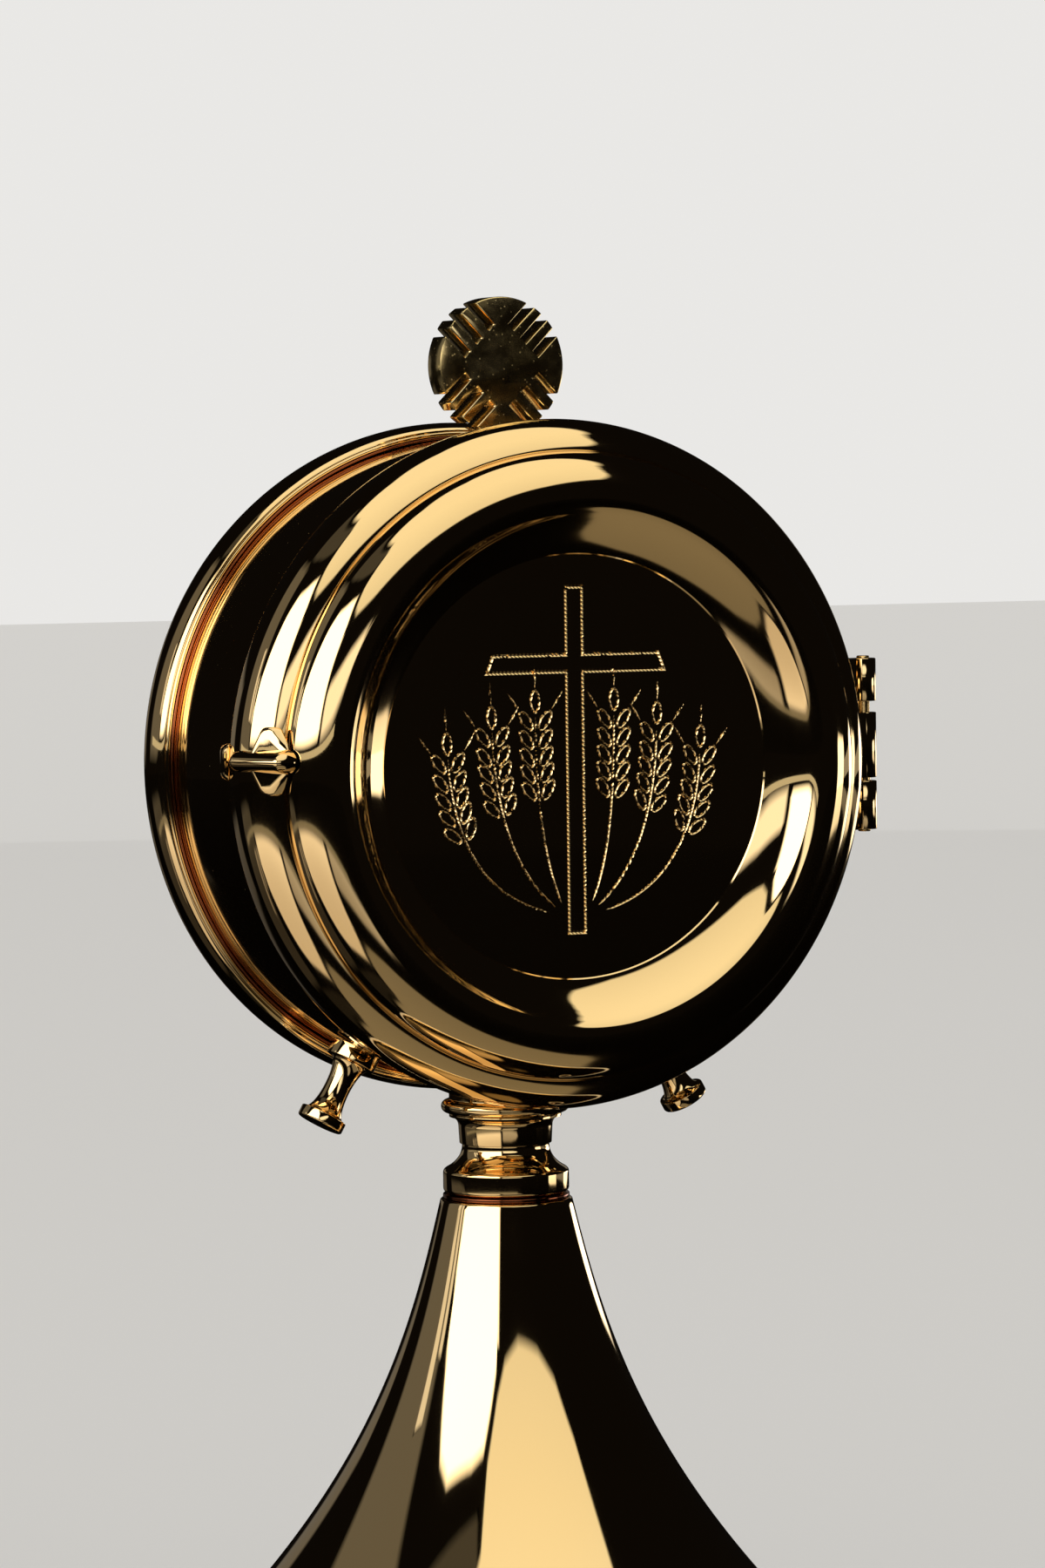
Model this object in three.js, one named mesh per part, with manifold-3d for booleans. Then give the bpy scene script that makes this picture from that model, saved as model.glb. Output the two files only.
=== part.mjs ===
// Luna holder: a round hinged case, lid to the front, on a trumpet foot.
// Millimetres, +Z up. The lid faces -Y, and the origin is the centre of the foot's underside.

import * as THREE from 'three';
import { ConvexGeometry } from 'three/addons/geometries/ConvexGeometry.js';
import { mergeVertices } from 'three/addons/utils/BufferGeometryUtils.js';
import Module from 'manifold-3d';

const wasm = await Module();
wasm.setup();

// Clearances
const FACE_GAP = 0.1;
const SEAT_GAP = 0.3;
const FIT_GAP = 0.15;

// Foot: a spun trumpet bell, open below, with a flat ring inside its rim
const FOOT_HEIGHT = 70;
const FOOT_TOP_RADIUS = 8.2;
const FOOT_NECK_LEAN = 4.1;
const FOOT_NECK_DROP = 17;
const FOOT_BELL_RADIUS = 17.4;
const FOOT_BELL_DROP = 38.3;
const FOOT_FLARE_RADIUS = 49.6;
const FOOT_FLANGE = 1.8;
const FOOT_RIM_ROUND = 1.1;
const FOOT_RIM_HEIGHT = 3.8;
const FOOT_SHEET = 1.2;
const BASE_RING_WIDTH = 4.4;
const BASE_RING_HEIGHT = 2;

// Stem: the pieces between the foot and the drum, and the bolt that holds them
const STEP_WASHER_RADIUS = 7.9;
const STEP_WASHER_HEIGHT = 0.5;
const COLLAR_HEIGHT = 9.9;
const COLLAR_RING_RADIUS = 7.85;
const COLLAR_RING_HEIGHT = 3.1;
const COLLAR_RING_ROUND = 0.6;
const COLLAR_COVE_HEIGHT = 2.8;
const COLLAR_COVE_SPREAD = 4.7;
const COLLAR_COVE_SWEEP = THREE.MathUtils.degToRad(55);
const COLLAR_GROOVE_RADIUS = 5.45;
const COLLAR_GROOVE_HEIGHT = 0.25;
const COLLAR_NECK_RADIUS = 5.75;
const COLLAR_NECK_DRAFT = 0.12;
const COLLAR_FLARE_START = 8.3;
const COLLAR_TOP_RADIUS = 7;
const COLLAR_TOP_BAND = 0.4;
const SADDLE_RADIUS = 8;
const SADDLE_FLANGE_HEIGHT = 1.6;
const SADDLE_NECK_RADIUS = 7;
const SADDLE_HEIGHT = 3.8;
const BOLT_RADIUS = 2;
const BOLT_CHAMFER = 0.4;
const BOLT_HEAD_RADIUS = 3.5;
const BOLT_HEAD_HEIGHT = 1.4;
const BOLT_TAIL = 1.6;
const CLAMP_WASHER_RADIUS = 6;
const CLAMP_WASHER_HEIGHT = 1.2;
const NUT_FLATS = 7;
const NUT_HEIGHT = 3.2;

// Drum: the cylindrical band between the two covers, set a little forward of the stem
const DRUM_RADIUS = 40;
const DRUM_SHEET = 1;
const DRUM_BAND = 22;
const DRUM_OVERLAP = 3.2;
const DRUM_FORWARD = 1.2;
const MOUTH_RING_SHEET = 0.9;
const MOUTH_RING_DEPTH = 4.2;
const MOUTH_LIP = 0.8;
const LIP_WIRE_WIDTH = 1;

// Covers: the lid and the back are the same dished spinning
const COVER_SHEET = 0.8;
const RIM_RING_SHEET = 0.5;
const RIM_RING_WIDTH = 2;
const RIM_BULGE = 0.3;
const SHOULDER_START = 3.2;
const SHOULDER_RADIUS = 5;
const SHOULDER_SWEEP = THREE.MathUtils.degToRad(76);
const GROOVE_DEPTH = 0.3;
const BEAD_WIDTH = 5.6;
const BEAD_HEIGHT = 4.8;
const COVE_WIDTH = 6.7;
const COVE_DEPTH = 3.6;
const COVE_ROLL = 2.85;
const DISC_STEP = 0.15;

// Cradle: the channel at the bottom of the drum in which a luna stands
const CRADLE_SHEET = 0.8;
const CRADLE_LIP = 2.4;
const CRADLE_BOLT_ROOM = 0.7;
const CRADLE_HALF_ANGLE = THREE.MathUtils.degToRad(52);

// Pegs: two turned pegs whose tenons rivet the cradle to the drum
const PEG_ANGLE = THREE.MathUtils.degToRad(30);
const PEG_LENGTH = 10.4;
const PEG_BASE_RADIUS = 3.15;
const PEG_BASE_LENGTH = 1.9;
const PEG_SHOULDER_RADIUS = 2.6;
const PEG_WAIST_RADIUS = 1.6;
const PEG_END_RADIUS = 2.95;
const PEG_END_LENGTH = 1.4;
const TENON_RADIUS = 1.2;
const TENON_HEAD_RADIUS = 2;
const TENON_HEAD_HEIGHT = 0.6;

// Finial: a notched disc on a stud
const FINIAL_RADIUS = 8.45;
const FINIAL_THICKNESS = 3.7;
const FINIAL_STANDOFF = 0.45;
const NOTCH_WIDTH = 1;
const NOTCH_SPACING = 2.35;
const NOTCH_INNER = 4.25;
const NOTCH_GROUPS = 4;
const STUD_RADIUS = 1;
const STUD_WALL = 0.3;
const STUD_HEAD_RADIUS = 1.9;
const STUD_HEAD_HEIGHT = 0.6;

// Hinge, on the right, and the catch, on the left, at one height above the drum's centre
const HINGE_RISE = 1.1;
const KNUCKLE_RADIUS = 1.6;
const KNUCKLE_STANDOFF = 1.15;
const BOTTOM_KNUCKLE = 6.1;
const MIDDLE_KNUCKLE = 8.2;
const TOP_KNUCKLE = 5.4;
const KNUCKLE_GAP = 0.4;
const PIN_SHOW = 1.4;
const PIN_RADIUS = 0.8;
const PIN_CLEARANCE = 0.1;
const PIN_PROUD = 0.3;
const LEAF_SHEET = 1.2;
const TAB_LENGTH = 9.7;
const TAB_WIDTH = 3;
const TAB_DEPTH = 6.4;
const TAB_TILT = THREE.MathUtils.degToRad(27);
const TAB_INSET = 2.7;
const TAB_FORWARD = 6.05;
const TAB_RISE = 1.8;
const BOSS_HALF_HEIGHT = 4.1;
const BOSS_RIDGE = 0.9;
const BOSS_EDGE = 0.55;
const BOSS_SPAN = [28, 86].map(THREE.MathUtils.degToRad);
const BOSS_TOP_SPAN = [49, 74].map(THREE.MathUtils.degToRad);
const BOSS_FRONT_RISE = 1.4;
const LUG_RISE = 1.5;
const LUG_HEIGHT = 4.6;
const LUG_THICKNESS = 1.4;
const LUG_REACH = 2;
const LUG_CORNER = 1.2;

// Facets round each turned piece, and steps along the curves of its profile
const CASE_FACETS = 48;
const FOOT_FACETS = 48;
const STEM_FACETS = 20;
const SMALL_FACETS = 16;
const BELL_STEPS = 10;
const BELL_INNER_STEPS = 5;
const ROUND_STEPS = 5;
const EDGE_STEPS = 3;
const SLOPE_STEPS = 4;
const WAIST_STEPS = 7;
const SHOULDER_STEPS = 4;
const BEAD_STEPS = 4;
const ROLL_STEPS = 3;
const HOLLOW_STEPS = 3;
const INNER_SHOULDER_STEPS = 2;
const INNER_BEAD_STEPS = 2;
const INNER_ROLL_STEPS = 1;
const INNER_HOLLOW_STEPS = 3;
const TAB_FACETS = 16;
const TAB_END_STEPS = 4;
const NUT_SIDES = 6;

// Sizes and places that follow from the dimensions above
const DRUM_INNER = DRUM_RADIUS - DRUM_SHEET;
const DRUM_HALF = DRUM_BAND / 2 + DRUM_OVERLAP;
const RIM_RING_INNER = DRUM_RADIUS + SEAT_GAP;
const RIM_RING_OUTER = RIM_RING_INNER + RIM_RING_SHEET;
const COVER_EDGE_RADIUS = RIM_RING_OUTER + FIT_GAP + COVER_SHEET;
const COVER_RADIUS = COVER_EDGE_RADIUS + RIM_BULGE;
const COVER_EDGE = DRUM_BAND / 2;
const HOLE_RADIUS = BOLT_RADIUS + SEAT_GAP;
const STEP_WASHER_Z = FOOT_HEIGHT + FACE_GAP;
const COLLAR_Z = STEP_WASHER_Z + STEP_WASHER_HEIGHT + FACE_GAP;
const SADDLE_Z = COLLAR_Z + COLLAR_HEIGHT + FACE_GAP;
const CASE_Z = SADDLE_Z + SADDLE_HEIGHT + DRUM_RADIUS;
const BOLT_HEAD_SEAT = flatSeat(DRUM_INNER, BOLT_HEAD_RADIUS);
const CRADLE_FLOOR_OUTER = BOLT_HEAD_SEAT - BOLT_HEAD_HEIGHT - SEAT_GAP;
const CRADLE_FLOOR_INNER = CRADLE_FLOOR_OUTER - CRADLE_SHEET;
const HINGE_X = COVER_RADIUS + KNUCKLE_STANDOFF + KNUCKLE_RADIUS;

// Finishes
const gilt = { color: 0xd9a441, metalness: 1, roughness: 0.08 };
const finishes = {
  gilt: new THREE.MeshStandardMaterial(gilt),
  giltSatin: new THREE.MeshStandardMaterial({ ...gilt, roughness: 0.32 }),
  copper: new THREE.MeshStandardMaterial({ color: 0xb5653a, metalness: 1, roughness: 0.2 }),
  steel: new THREE.MeshStandardMaterial({ color: 0xb9bbbd, metalness: 1, roughness: 0.35 }),
};

const model = new THREE.Group();
const drumGroup = new THREE.Group();
drumGroup.position.set(0, -DRUM_FORWARD, CASE_Z);
const stemPlane = new THREE.Group();
stemPlane.position.set(0, 0, CASE_Z);
model.add(drumGroup, stemPlane);

// How far from the drum's centre line a flat head lies when its edge rests inside a round sheet
function flatSeat(radius, headRadius) {
  const apothem = radius * Math.cos(Math.PI / CASE_FACETS);
  return Math.sqrt(apothem ** 2 - headRadius ** 2) - FACE_GAP;
}

// Signed volume of an indexed geometry, positive where its faces point out
function signedVolume(positions, index) {
  const [a, b, c] = [new THREE.Vector3(), new THREE.Vector3(), new THREE.Vector3()];
  let volume = 0;
  for (let i = 0; i < index.length; i += 3) {
    a.fromBufferAttribute(positions, index[i]);
    b.fromBufferAttribute(positions, index[i + 1]);
    c.fromBufferAttribute(positions, index[i + 2]);
    volume += a.dot(b.cross(c)) / 6;
  }
  return volume;
}

// One closed body: shared vertices merged, empty triangles dropped, faces pointing out
function closedBody(geometry) {
  const bare = geometry.index ? geometry.clone() : geometry;
  bare.deleteAttribute('normal');
  bare.deleteAttribute('uv');
  const merged = mergeVertices(bare, 1e-4);
  const kept = [];
  const source = merged.index.array;
  for (let i = 0; i < source.length; i += 3) {
    const [p, q, r] = [source[i], source[i + 1], source[i + 2]];
    if (p !== q && q !== r && r !== p) kept.push(p, q, r);
  }
  if (signedVolume(merged.attributes.position, kept) < 0) {
    for (let i = 0; i < kept.length; i += 3) [kept[i], kept[i + 1]] = [kept[i + 1], kept[i]];
  }
  merged.setIndex(kept);
  return merged;
}

// A solid for cutting and joining, with the geometry's place applied
function solid(geometry, matrix = new THREE.Matrix4()) {
  const body = closedBody(geometry.clone().applyMatrix4(matrix));
  const mesh = new wasm.Mesh({
    numProp: 3,
    vertProperties: new Float32Array(body.attributes.position.array),
    triVerts: new Uint32Array(body.index.array),
  });
  return new wasm.Manifold(mesh);
}

function fromSolid(cut) {
  const mesh = cut.getMesh();
  const geometry = new THREE.BufferGeometry();
  geometry.setAttribute('position', new THREE.BufferAttribute(mesh.vertProperties, 3));
  geometry.setIndex(new THREE.BufferAttribute(mesh.triVerts, 1));
  return geometry;
}

function addPiece(name, geometry, finish, parent = model) {
  const piece = new THREE.Mesh(closedBody(geometry), finishes[finish].clone());
  piece.name = name;
  parent.add(piece);
  return piece;
}

// Points on an elliptical arc, in (radius, height)
function arc(centreR, centreH, radiusR, radiusH, from, to, steps) {
  const points = [];
  for (let i = 0; i <= steps; i += 1) {
    const angle = from + ((to - from) * i) / steps;
    points.push([centreR + radiusR * Math.cos(angle), centreH + radiusH * Math.sin(angle)]);
  }
  return points;
}

// Turned pieces: a profile in (radius, height) swept round, with its height along an axis
const UP = new THREE.Matrix4().makeRotationX(Math.PI / 2);
const TO_FRONT = new THREE.Matrix4().makeRotationX(Math.PI);
const TO_BACK = new THREE.Matrix4();

function turned(profile, facets, axis = UP) {
  const points = profile.map(([radius, height]) => new THREE.Vector2(radius, height));
  return new THREE.LatheGeometry(points, facets).applyMatrix4(axis);
}

// A ring or a washer of rectangular section
function ring(inner, outer, low, high, facets, axis = UP) {
  const section = [[inner, low], [outer, low], [outer, high], [inner, high], [inner, low]];
  return turned(section, facets, axis);
}

// A flat outline given a thickness along +Z
function extruded(outline, depth, curveSegments = 1) {
  return new THREE.ExtrudeGeometry(outline, { depth, curveSegments, bevelEnabled: false });
}

function block(sizeX, sizeY, sizeZ, x, y, z) {
  return new THREE.BoxGeometry(sizeX, sizeY, sizeZ).translate(x, y, z);
}

// A rod about an axis that points from the drum's centre line at an angle from straight down
function spoke(radius, from, to, angle, facets = SMALL_FACETS) {
  const rod = new THREE.CylinderGeometry(radius, radius, to - from, facets);
  rod.translate(0, (from + to) / 2, 0);
  return rod.applyMatrix4(spokeTurn(angle));
}

function spokeTurn(angle) {
  return new THREE.Matrix4().makeRotationY(angle).multiply(new THREE.Matrix4().makeRotationX(-Math.PI / 2));
}

// The drum's outside as a solid cylinder, for what is cut to sit on it
function drumCutter(radius, length) {
  return new THREE.CylinderGeometry(radius, radius, length, CASE_FACETS * 2);
}

// Moves each point of a profile inwards by the sheet's thickness, along its corner's bisector
function offsetProfile(points, sheet) {
  return points.map(([radius, height], i) => {
    if (i === 0) return [radius - sheet, height];
    const before = new THREE.Vector2(radius - points[i - 1][0], height - points[i - 1][1]).normalize();
    if (i === points.length - 1) return [radius, height - sheet];
    const after = new THREE.Vector2(points[i + 1][0] - radius, points[i + 1][1] - height).normalize();
    const bisector = new THREE.Vector2(-(before.y + after.y), before.x + after.x).normalize();
    const reach = sheet / (bisector.x * -before.y + bisector.y * before.x);
    return [radius + bisector.x * reach, height + bisector.y * reach];
  });
}

// Foot
function footOutline(steps) {
  const curve = new THREE.CubicBezierCurve(
    new THREE.Vector2(FOOT_TOP_RADIUS, FOOT_HEIGHT),
    new THREE.Vector2(FOOT_TOP_RADIUS + FOOT_NECK_LEAN, FOOT_HEIGHT - FOOT_NECK_DROP),
    new THREE.Vector2(FOOT_BELL_RADIUS, FOOT_HEIGHT - FOOT_BELL_DROP),
    new THREE.Vector2(FOOT_FLARE_RADIUS, FOOT_RIM_HEIGHT),
  );
  return curve.getPoints(steps).map((point) => [point.x, point.y]);
}

function footInside(steps) {
  const outside = footOutline(steps);
  return outside.map(([radius, height], i) => {
    if (i === 0) return [radius - FOOT_SHEET, height - FOOT_SHEET];
    if (i === outside.length - 1) return [radius - FOOT_SHEET, height - FOOT_SHEET];
    const [nextR, nextH] = outside[i + 1];
    const [lastR, lastH] = outside[i - 1];
    const along = new THREE.Vector2(nextR - lastR, nextH - lastH).normalize();
    return [radius + along.y * FOOT_SHEET, height - along.x * FOOT_SHEET];
  });
}

function addFoot() {
  const rimMiddle = FOOT_RIM_HEIGHT / 2;
  const rim = arc(FOOT_FLARE_RADIUS + FOOT_FLANGE, rimMiddle, FOOT_RIM_ROUND, rimMiddle,
    Math.PI / 2, -Math.PI / 2, ROUND_STEPS);
  const inside = footInside(BELL_INNER_STEPS).reverse();
  const profile = [
    [HOLE_RADIUS, FOOT_HEIGHT],
    ...footOutline(BELL_STEPS),
    ...rim,
    [FOOT_FLARE_RADIUS - FOOT_SHEET, 0],
    ...inside,
    [HOLE_RADIUS, FOOT_HEIGHT - FOOT_SHEET],
    [HOLE_RADIUS, FOOT_HEIGHT],
  ];
  addPiece('trumpet_foot', turned(profile, FOOT_FACETS), 'gilt');

  const ringOuter = FOOT_FLARE_RADIUS - FOOT_SHEET - SEAT_GAP;
  const base = ring(ringOuter - BASE_RING_WIDTH, ringOuter, 0, BASE_RING_HEIGHT, FOOT_FACETS);
  addPiece('foot_base_ring', base, 'gilt');
}

// Stem
function addStem() {
  const washer = ring(HOLE_RADIUS, STEP_WASHER_RADIUS, 0, STEP_WASHER_HEIGHT, STEM_FACETS);
  addPiece('step_washer', washer, 'copper').position.z = STEP_WASHER_Z;

  const ringCentre = COLLAR_RING_RADIUS - COLLAR_RING_ROUND;
  const ringTop = COLLAR_RING_HEIGHT - COLLAR_RING_ROUND;
  const coveTop = COLLAR_RING_HEIGHT + COLLAR_COVE_HEIGHT;
  const coveRise = COLLAR_COVE_HEIGHT / Math.sin(COLLAR_COVE_SWEEP);
  const neckStart = coveTop + COLLAR_GROOVE_HEIGHT;
  const flareRadius = COLLAR_NECK_RADIUS + COLLAR_NECK_DRAFT;
  const flareEnd = COLLAR_HEIGHT - COLLAR_TOP_BAND;
  const collar = [
    [HOLE_RADIUS, 0],
    ...arc(ringCentre, COLLAR_RING_ROUND, COLLAR_RING_ROUND, COLLAR_RING_ROUND, -Math.PI / 2, 0, EDGE_STEPS),
    ...arc(ringCentre, ringTop, COLLAR_RING_ROUND, COLLAR_RING_ROUND, 0, COLLAR_COVE_SWEEP, EDGE_STEPS),
    ...arc(COLLAR_GROOVE_RADIUS + COLLAR_COVE_SPREAD, coveTop, COLLAR_COVE_SPREAD, coveRise,
      COLLAR_COVE_SWEEP - Math.PI, -Math.PI, SLOPE_STEPS),
    [COLLAR_GROOVE_RADIUS, neckStart],
    [COLLAR_NECK_RADIUS, neckStart],
    ...arc(COLLAR_TOP_RADIUS, COLLAR_FLARE_START, COLLAR_TOP_RADIUS - flareRadius,
      flareEnd - COLLAR_FLARE_START, Math.PI, Math.PI / 2, SLOPE_STEPS),
    [COLLAR_TOP_RADIUS, COLLAR_HEIGHT],
    [HOLE_RADIUS, COLLAR_HEIGHT],
    [HOLE_RADIUS, 0],
  ];
  addPiece('stem_collar', turned(collar, STEM_FACETS), 'gilt').position.z = COLLAR_Z;

  const edge = SADDLE_FLANGE_HEIGHT / 2;
  const saddle = solid(turned([
    [HOLE_RADIUS, 0],
    ...arc(SADDLE_RADIUS - edge, edge, edge, edge, -Math.PI / 2, Math.PI / 2, SLOPE_STEPS),
    [SADDLE_NECK_RADIUS, SADDLE_FLANGE_HEIGHT + FACE_GAP],
    [SADDLE_NECK_RADIUS, SADDLE_HEIGHT + SADDLE_RADIUS],
    [HOLE_RADIUS, SADDLE_HEIGHT + SADDLE_RADIUS],
    [HOLE_RADIUS, 0],
  ], STEM_FACETS), new THREE.Matrix4().makeTranslation(0, 0, SADDLE_Z));
  const drumPlace = new THREE.Matrix4().makeTranslation(0, 0, CASE_Z);
  const seat = solid(drumCutter(DRUM_RADIUS + SEAT_GAP, DRUM_BAND), drumPlace);
  addPiece('drum_saddle', fromSolid(saddle.subtract(seat)), 'gilt');

  const washerZ = FOOT_HEIGHT - FOOT_SHEET - FACE_GAP - CLAMP_WASHER_HEIGHT;
  const clamp = ring(HOLE_RADIUS, CLAMP_WASHER_RADIUS, 0, CLAMP_WASHER_HEIGHT, STEM_FACETS);
  addPiece('clamp_washer', clamp, 'steel').position.z = washerZ;

  const hexagon = new THREE.Shape();
  const corner = NUT_FLATS / 2 / Math.cos(Math.PI / NUT_SIDES);
  for (let i = 0; i < NUT_SIDES; i += 1) {
    const angle = (i * 2 * Math.PI) / NUT_SIDES;
    const move = i === 0 ? 'moveTo' : 'lineTo';
    hexagon[move](corner * Math.cos(angle), corner * Math.sin(angle));
  }
  hexagon.closePath();
  hexagon.holes.push(new THREE.Path().absarc(0, 0, HOLE_RADIUS, 0, Math.PI * 2, true));
  const nutZ = washerZ - FACE_GAP - NUT_HEIGHT;
  const nut = extruded(hexagon, NUT_HEIGHT, SMALL_FACETS / 2);
  addPiece('clamp_nut', nut, 'steel').position.z = nutZ;

  const headSeat = CASE_Z - BOLT_HEAD_SEAT;
  const tip = nutZ - BOLT_TAIL;
  const headEdge = BOLT_HEAD_HEIGHT / 2;
  const bolt = [
    [0, tip],
    [BOLT_RADIUS - BOLT_CHAMFER, tip],
    [BOLT_RADIUS, tip + BOLT_CHAMFER],
    [BOLT_RADIUS, headSeat],
    [BOLT_HEAD_RADIUS, headSeat],
    ...arc(BOLT_HEAD_RADIUS - headEdge, headSeat + headEdge, headEdge, headEdge, 0, Math.PI / 2, EDGE_STEPS),
    [0, headSeat + BOLT_HEAD_HEIGHT],
  ];
  addPiece('case_bolt', turned(bolt, SMALL_FACETS), 'steel');
}

// Drum with its rings
function addDrum() {
  const holeEnd = DRUM_RADIUS + DRUM_SHEET;
  const holeStart = DRUM_INNER - DRUM_SHEET;
  let wall = solid(ring(DRUM_INNER, DRUM_RADIUS, -DRUM_HALF, DRUM_HALF, CASE_FACETS, TO_BACK));
  const holes = [
    spoke(HOLE_RADIUS, holeStart, holeEnd, 0),
    spoke(TENON_RADIUS + SEAT_GAP, holeStart, holeEnd, PEG_ANGLE),
    spoke(TENON_RADIUS + SEAT_GAP, holeStart, holeEnd, -PEG_ANGLE),
    spoke(STUD_RADIUS + SEAT_GAP, holeStart, holeEnd, Math.PI),
  ];
  const stemSide = new THREE.Matrix4().makeTranslation(0, DRUM_FORWARD, 0);
  for (const hole of holes) wall = wall.subtract(solid(hole, stemSide));
  addPiece('drum_wall', fromSolid(wall), 'gilt', drumGroup);

  const mouthOuter = DRUM_INNER - SEAT_GAP;
  const mouthInner = mouthOuter - MOUTH_RING_SHEET;
  const mouthBack = DRUM_HALF - MOUTH_RING_DEPTH;
  const mouth = turned([
    [mouthInner, mouthBack],
    [mouthOuter, mouthBack],
    [mouthOuter, DRUM_HALF],
    [mouthInner - MOUTH_LIP, DRUM_HALF],
    [mouthInner - MOUTH_LIP, DRUM_HALF - MOUTH_RING_SHEET],
    [mouthInner, DRUM_HALF - MOUTH_RING_SHEET],
    [mouthInner, mouthBack],
  ], CASE_FACETS, TO_FRONT);
  addPiece('mouth_ring', mouth, 'gilt', drumGroup);

  const wireHalf = LIP_WIRE_WIDTH / 2;
  const wireMiddle = COVER_EDGE - FACE_GAP - wireHalf;
  const wire = turned([
    [RIM_RING_INNER, wireMiddle - wireHalf],
    ...arc(RIM_RING_OUTER, wireMiddle, wireHalf, wireHalf, -Math.PI / 2, Math.PI / 2, EDGE_STEPS),
    [RIM_RING_INNER, wireMiddle + wireHalf],
    [RIM_RING_INNER, wireMiddle - wireHalf],
  ], CASE_FACETS, TO_BACK);
  addPiece('back_lip_wire', wire, 'copper', drumGroup);
}

// Covers: shoulder, groove and bead, then an ogee, rolled over and hollowed, down to the flat disc
function coverOutline(shoulderSteps, beadSteps, rollSteps, hollowSteps, groove) {
  const shoulder = arc(COVER_RADIUS - SHOULDER_RADIUS, COVER_EDGE + SHOULDER_START,
    SHOULDER_RADIUS, SHOULDER_RADIUS, 0, SHOULDER_SWEEP, shoulderSteps);
  const [grooveRadius, grooveHeight] = shoulder[shoulderSteps];
  const ridgeRadius = grooveRadius - GROOVE_DEPTH - BEAD_WIDTH;
  const ridgeHeight = grooveHeight - GROOVE_DEPTH + BEAD_HEIGHT;
  const beadFoot = grooveHeight - groove;
  const bead = arc(ridgeRadius, beadFoot, grooveRadius - groove - ridgeRadius, ridgeHeight - beadFoot,
    0, Math.PI / 2, beadSteps);
  const discRadius = ridgeRadius - COVE_WIDTH;
  const discHeight = ridgeHeight - COVE_DEPTH;
  const coveSweep = 2 * Math.atan(COVE_DEPTH / COVE_WIDTH);
  const hollowRadius = COVE_WIDTH / Math.sin(coveSweep) - COVE_ROLL;
  const roll = arc(ridgeRadius, ridgeHeight - COVE_ROLL, COVE_ROLL, COVE_ROLL,
    Math.PI / 2, Math.PI / 2 + coveSweep, rollSteps);
  const hollow = arc(discRadius, discHeight + hollowRadius, hollowRadius, hollowRadius,
    coveSweep - Math.PI / 2, -Math.PI / 2, hollowSteps);
  const outline = [[COVER_EDGE_RADIUS, COVER_EDGE], ...shoulder];
  outline.push(...(groove > 0 ? bead : bead.slice(1)), ...roll.slice(1), ...hollow.slice(1));
  outline.push([discRadius - DISC_STEP, discHeight - DISC_STEP], [0, discHeight - DISC_STEP]);
  return outline;
}

function coverOutside() {
  return coverOutline(SHOULDER_STEPS, BEAD_STEPS, ROLL_STEPS, HOLLOW_STEPS, GROOVE_DEPTH);
}

function coverShell(axis) {
  const outside = coverOutside();
  const plain = coverOutline(INNER_SHOULDER_STEPS, INNER_BEAD_STEPS, INNER_ROLL_STEPS,
    INNER_HOLLOW_STEPS, 0);
  const inside = offsetProfile(plain, COVER_SHEET).reverse();
  return turned([...outside, ...inside, outside[0]], CASE_FACETS, axis);
}

function rimRing(axis) {
  const low = COVER_EDGE + FIT_GAP;
  return ring(RIM_RING_INNER, RIM_RING_OUTER, low, low + RIM_RING_WIDTH, CASE_FACETS, axis);
}

function addCovers() {
  addPiece('back_cover', coverShell(TO_BACK), 'gilt', drumGroup);
  addPiece('back_rim_ring', rimRing(TO_BACK), 'gilt', drumGroup);
  addPiece('lid_shell', coverShell(TO_FRONT), 'gilt', drumGroup);
  addPiece('lid_rim_ring', rimRing(TO_FRONT), 'gilt', drumGroup);
}

// Thumb tab: a rounded bar on a low lozenge boss, cut to sit on the lid's shoulder
function tabBoss() {
  const onShoulder = (angle, proud, z) => {
    const reach = SHOULDER_RADIUS + proud;
    const radius = COVER_RADIUS - SHOULDER_RADIUS + reach * Math.cos(angle);
    const height = COVER_EDGE + SHOULDER_START + reach * Math.sin(angle);
    return new THREE.Vector3(-radius, -height, z);
  };
  const [rear, front] = BOSS_SPAN;
  const [topRear, topFront] = BOSS_TOP_SPAN;
  const points = [];
  for (const deep of [0, SHOULDER_RADIUS / 2]) {
    points.push(onShoulder(rear, BOSS_RIDGE - deep, 0));
    points.push(onShoulder((topRear + topFront) / 2, BOSS_RIDGE - deep, 0));
    points.push(onShoulder(front, BOSS_RIDGE + BOSS_FRONT_RISE - deep, 0));
    for (const z of [-BOSS_HALF_HEIGHT, BOSS_HALF_HEIGHT]) {
      points.push(onShoulder(topRear, BOSS_EDGE - deep, z));
      points.push(onShoulder(topFront, BOSS_EDGE - deep, z));
    }
  }
  return new ConvexGeometry(points);
}

function addThumbTab() {
  const bar = new THREE.CapsuleGeometry(TAB_WIDTH / 2, TAB_LENGTH - TAB_WIDTH, TAB_END_STEPS, TAB_FACETS);
  bar.scale(TAB_DEPTH / TAB_WIDTH, 1, 1);
  const place = new THREE.Matrix4().makeRotationZ(TAB_TILT);
  place.setPosition(TAB_INSET - COVER_RADIUS, -COVER_EDGE - TAB_FORWARD, TAB_RISE);
  const bossPlace = new THREE.Matrix4().makeTranslation(0, 0, TAB_RISE);
  const clear = offsetProfile(coverOutside(), -SEAT_GAP);
  const lidMass = turned([...clear, [0, 0], [clear[0][0], 0], clear[0]], CASE_FACETS, TO_FRONT);
  const tab = solid(bar, place).add(solid(tabBoss(), bossPlace)).subtract(solid(lidMass));
  addPiece('thumb_tab', fromSolid(tab), 'gilt', drumGroup);
}

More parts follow.
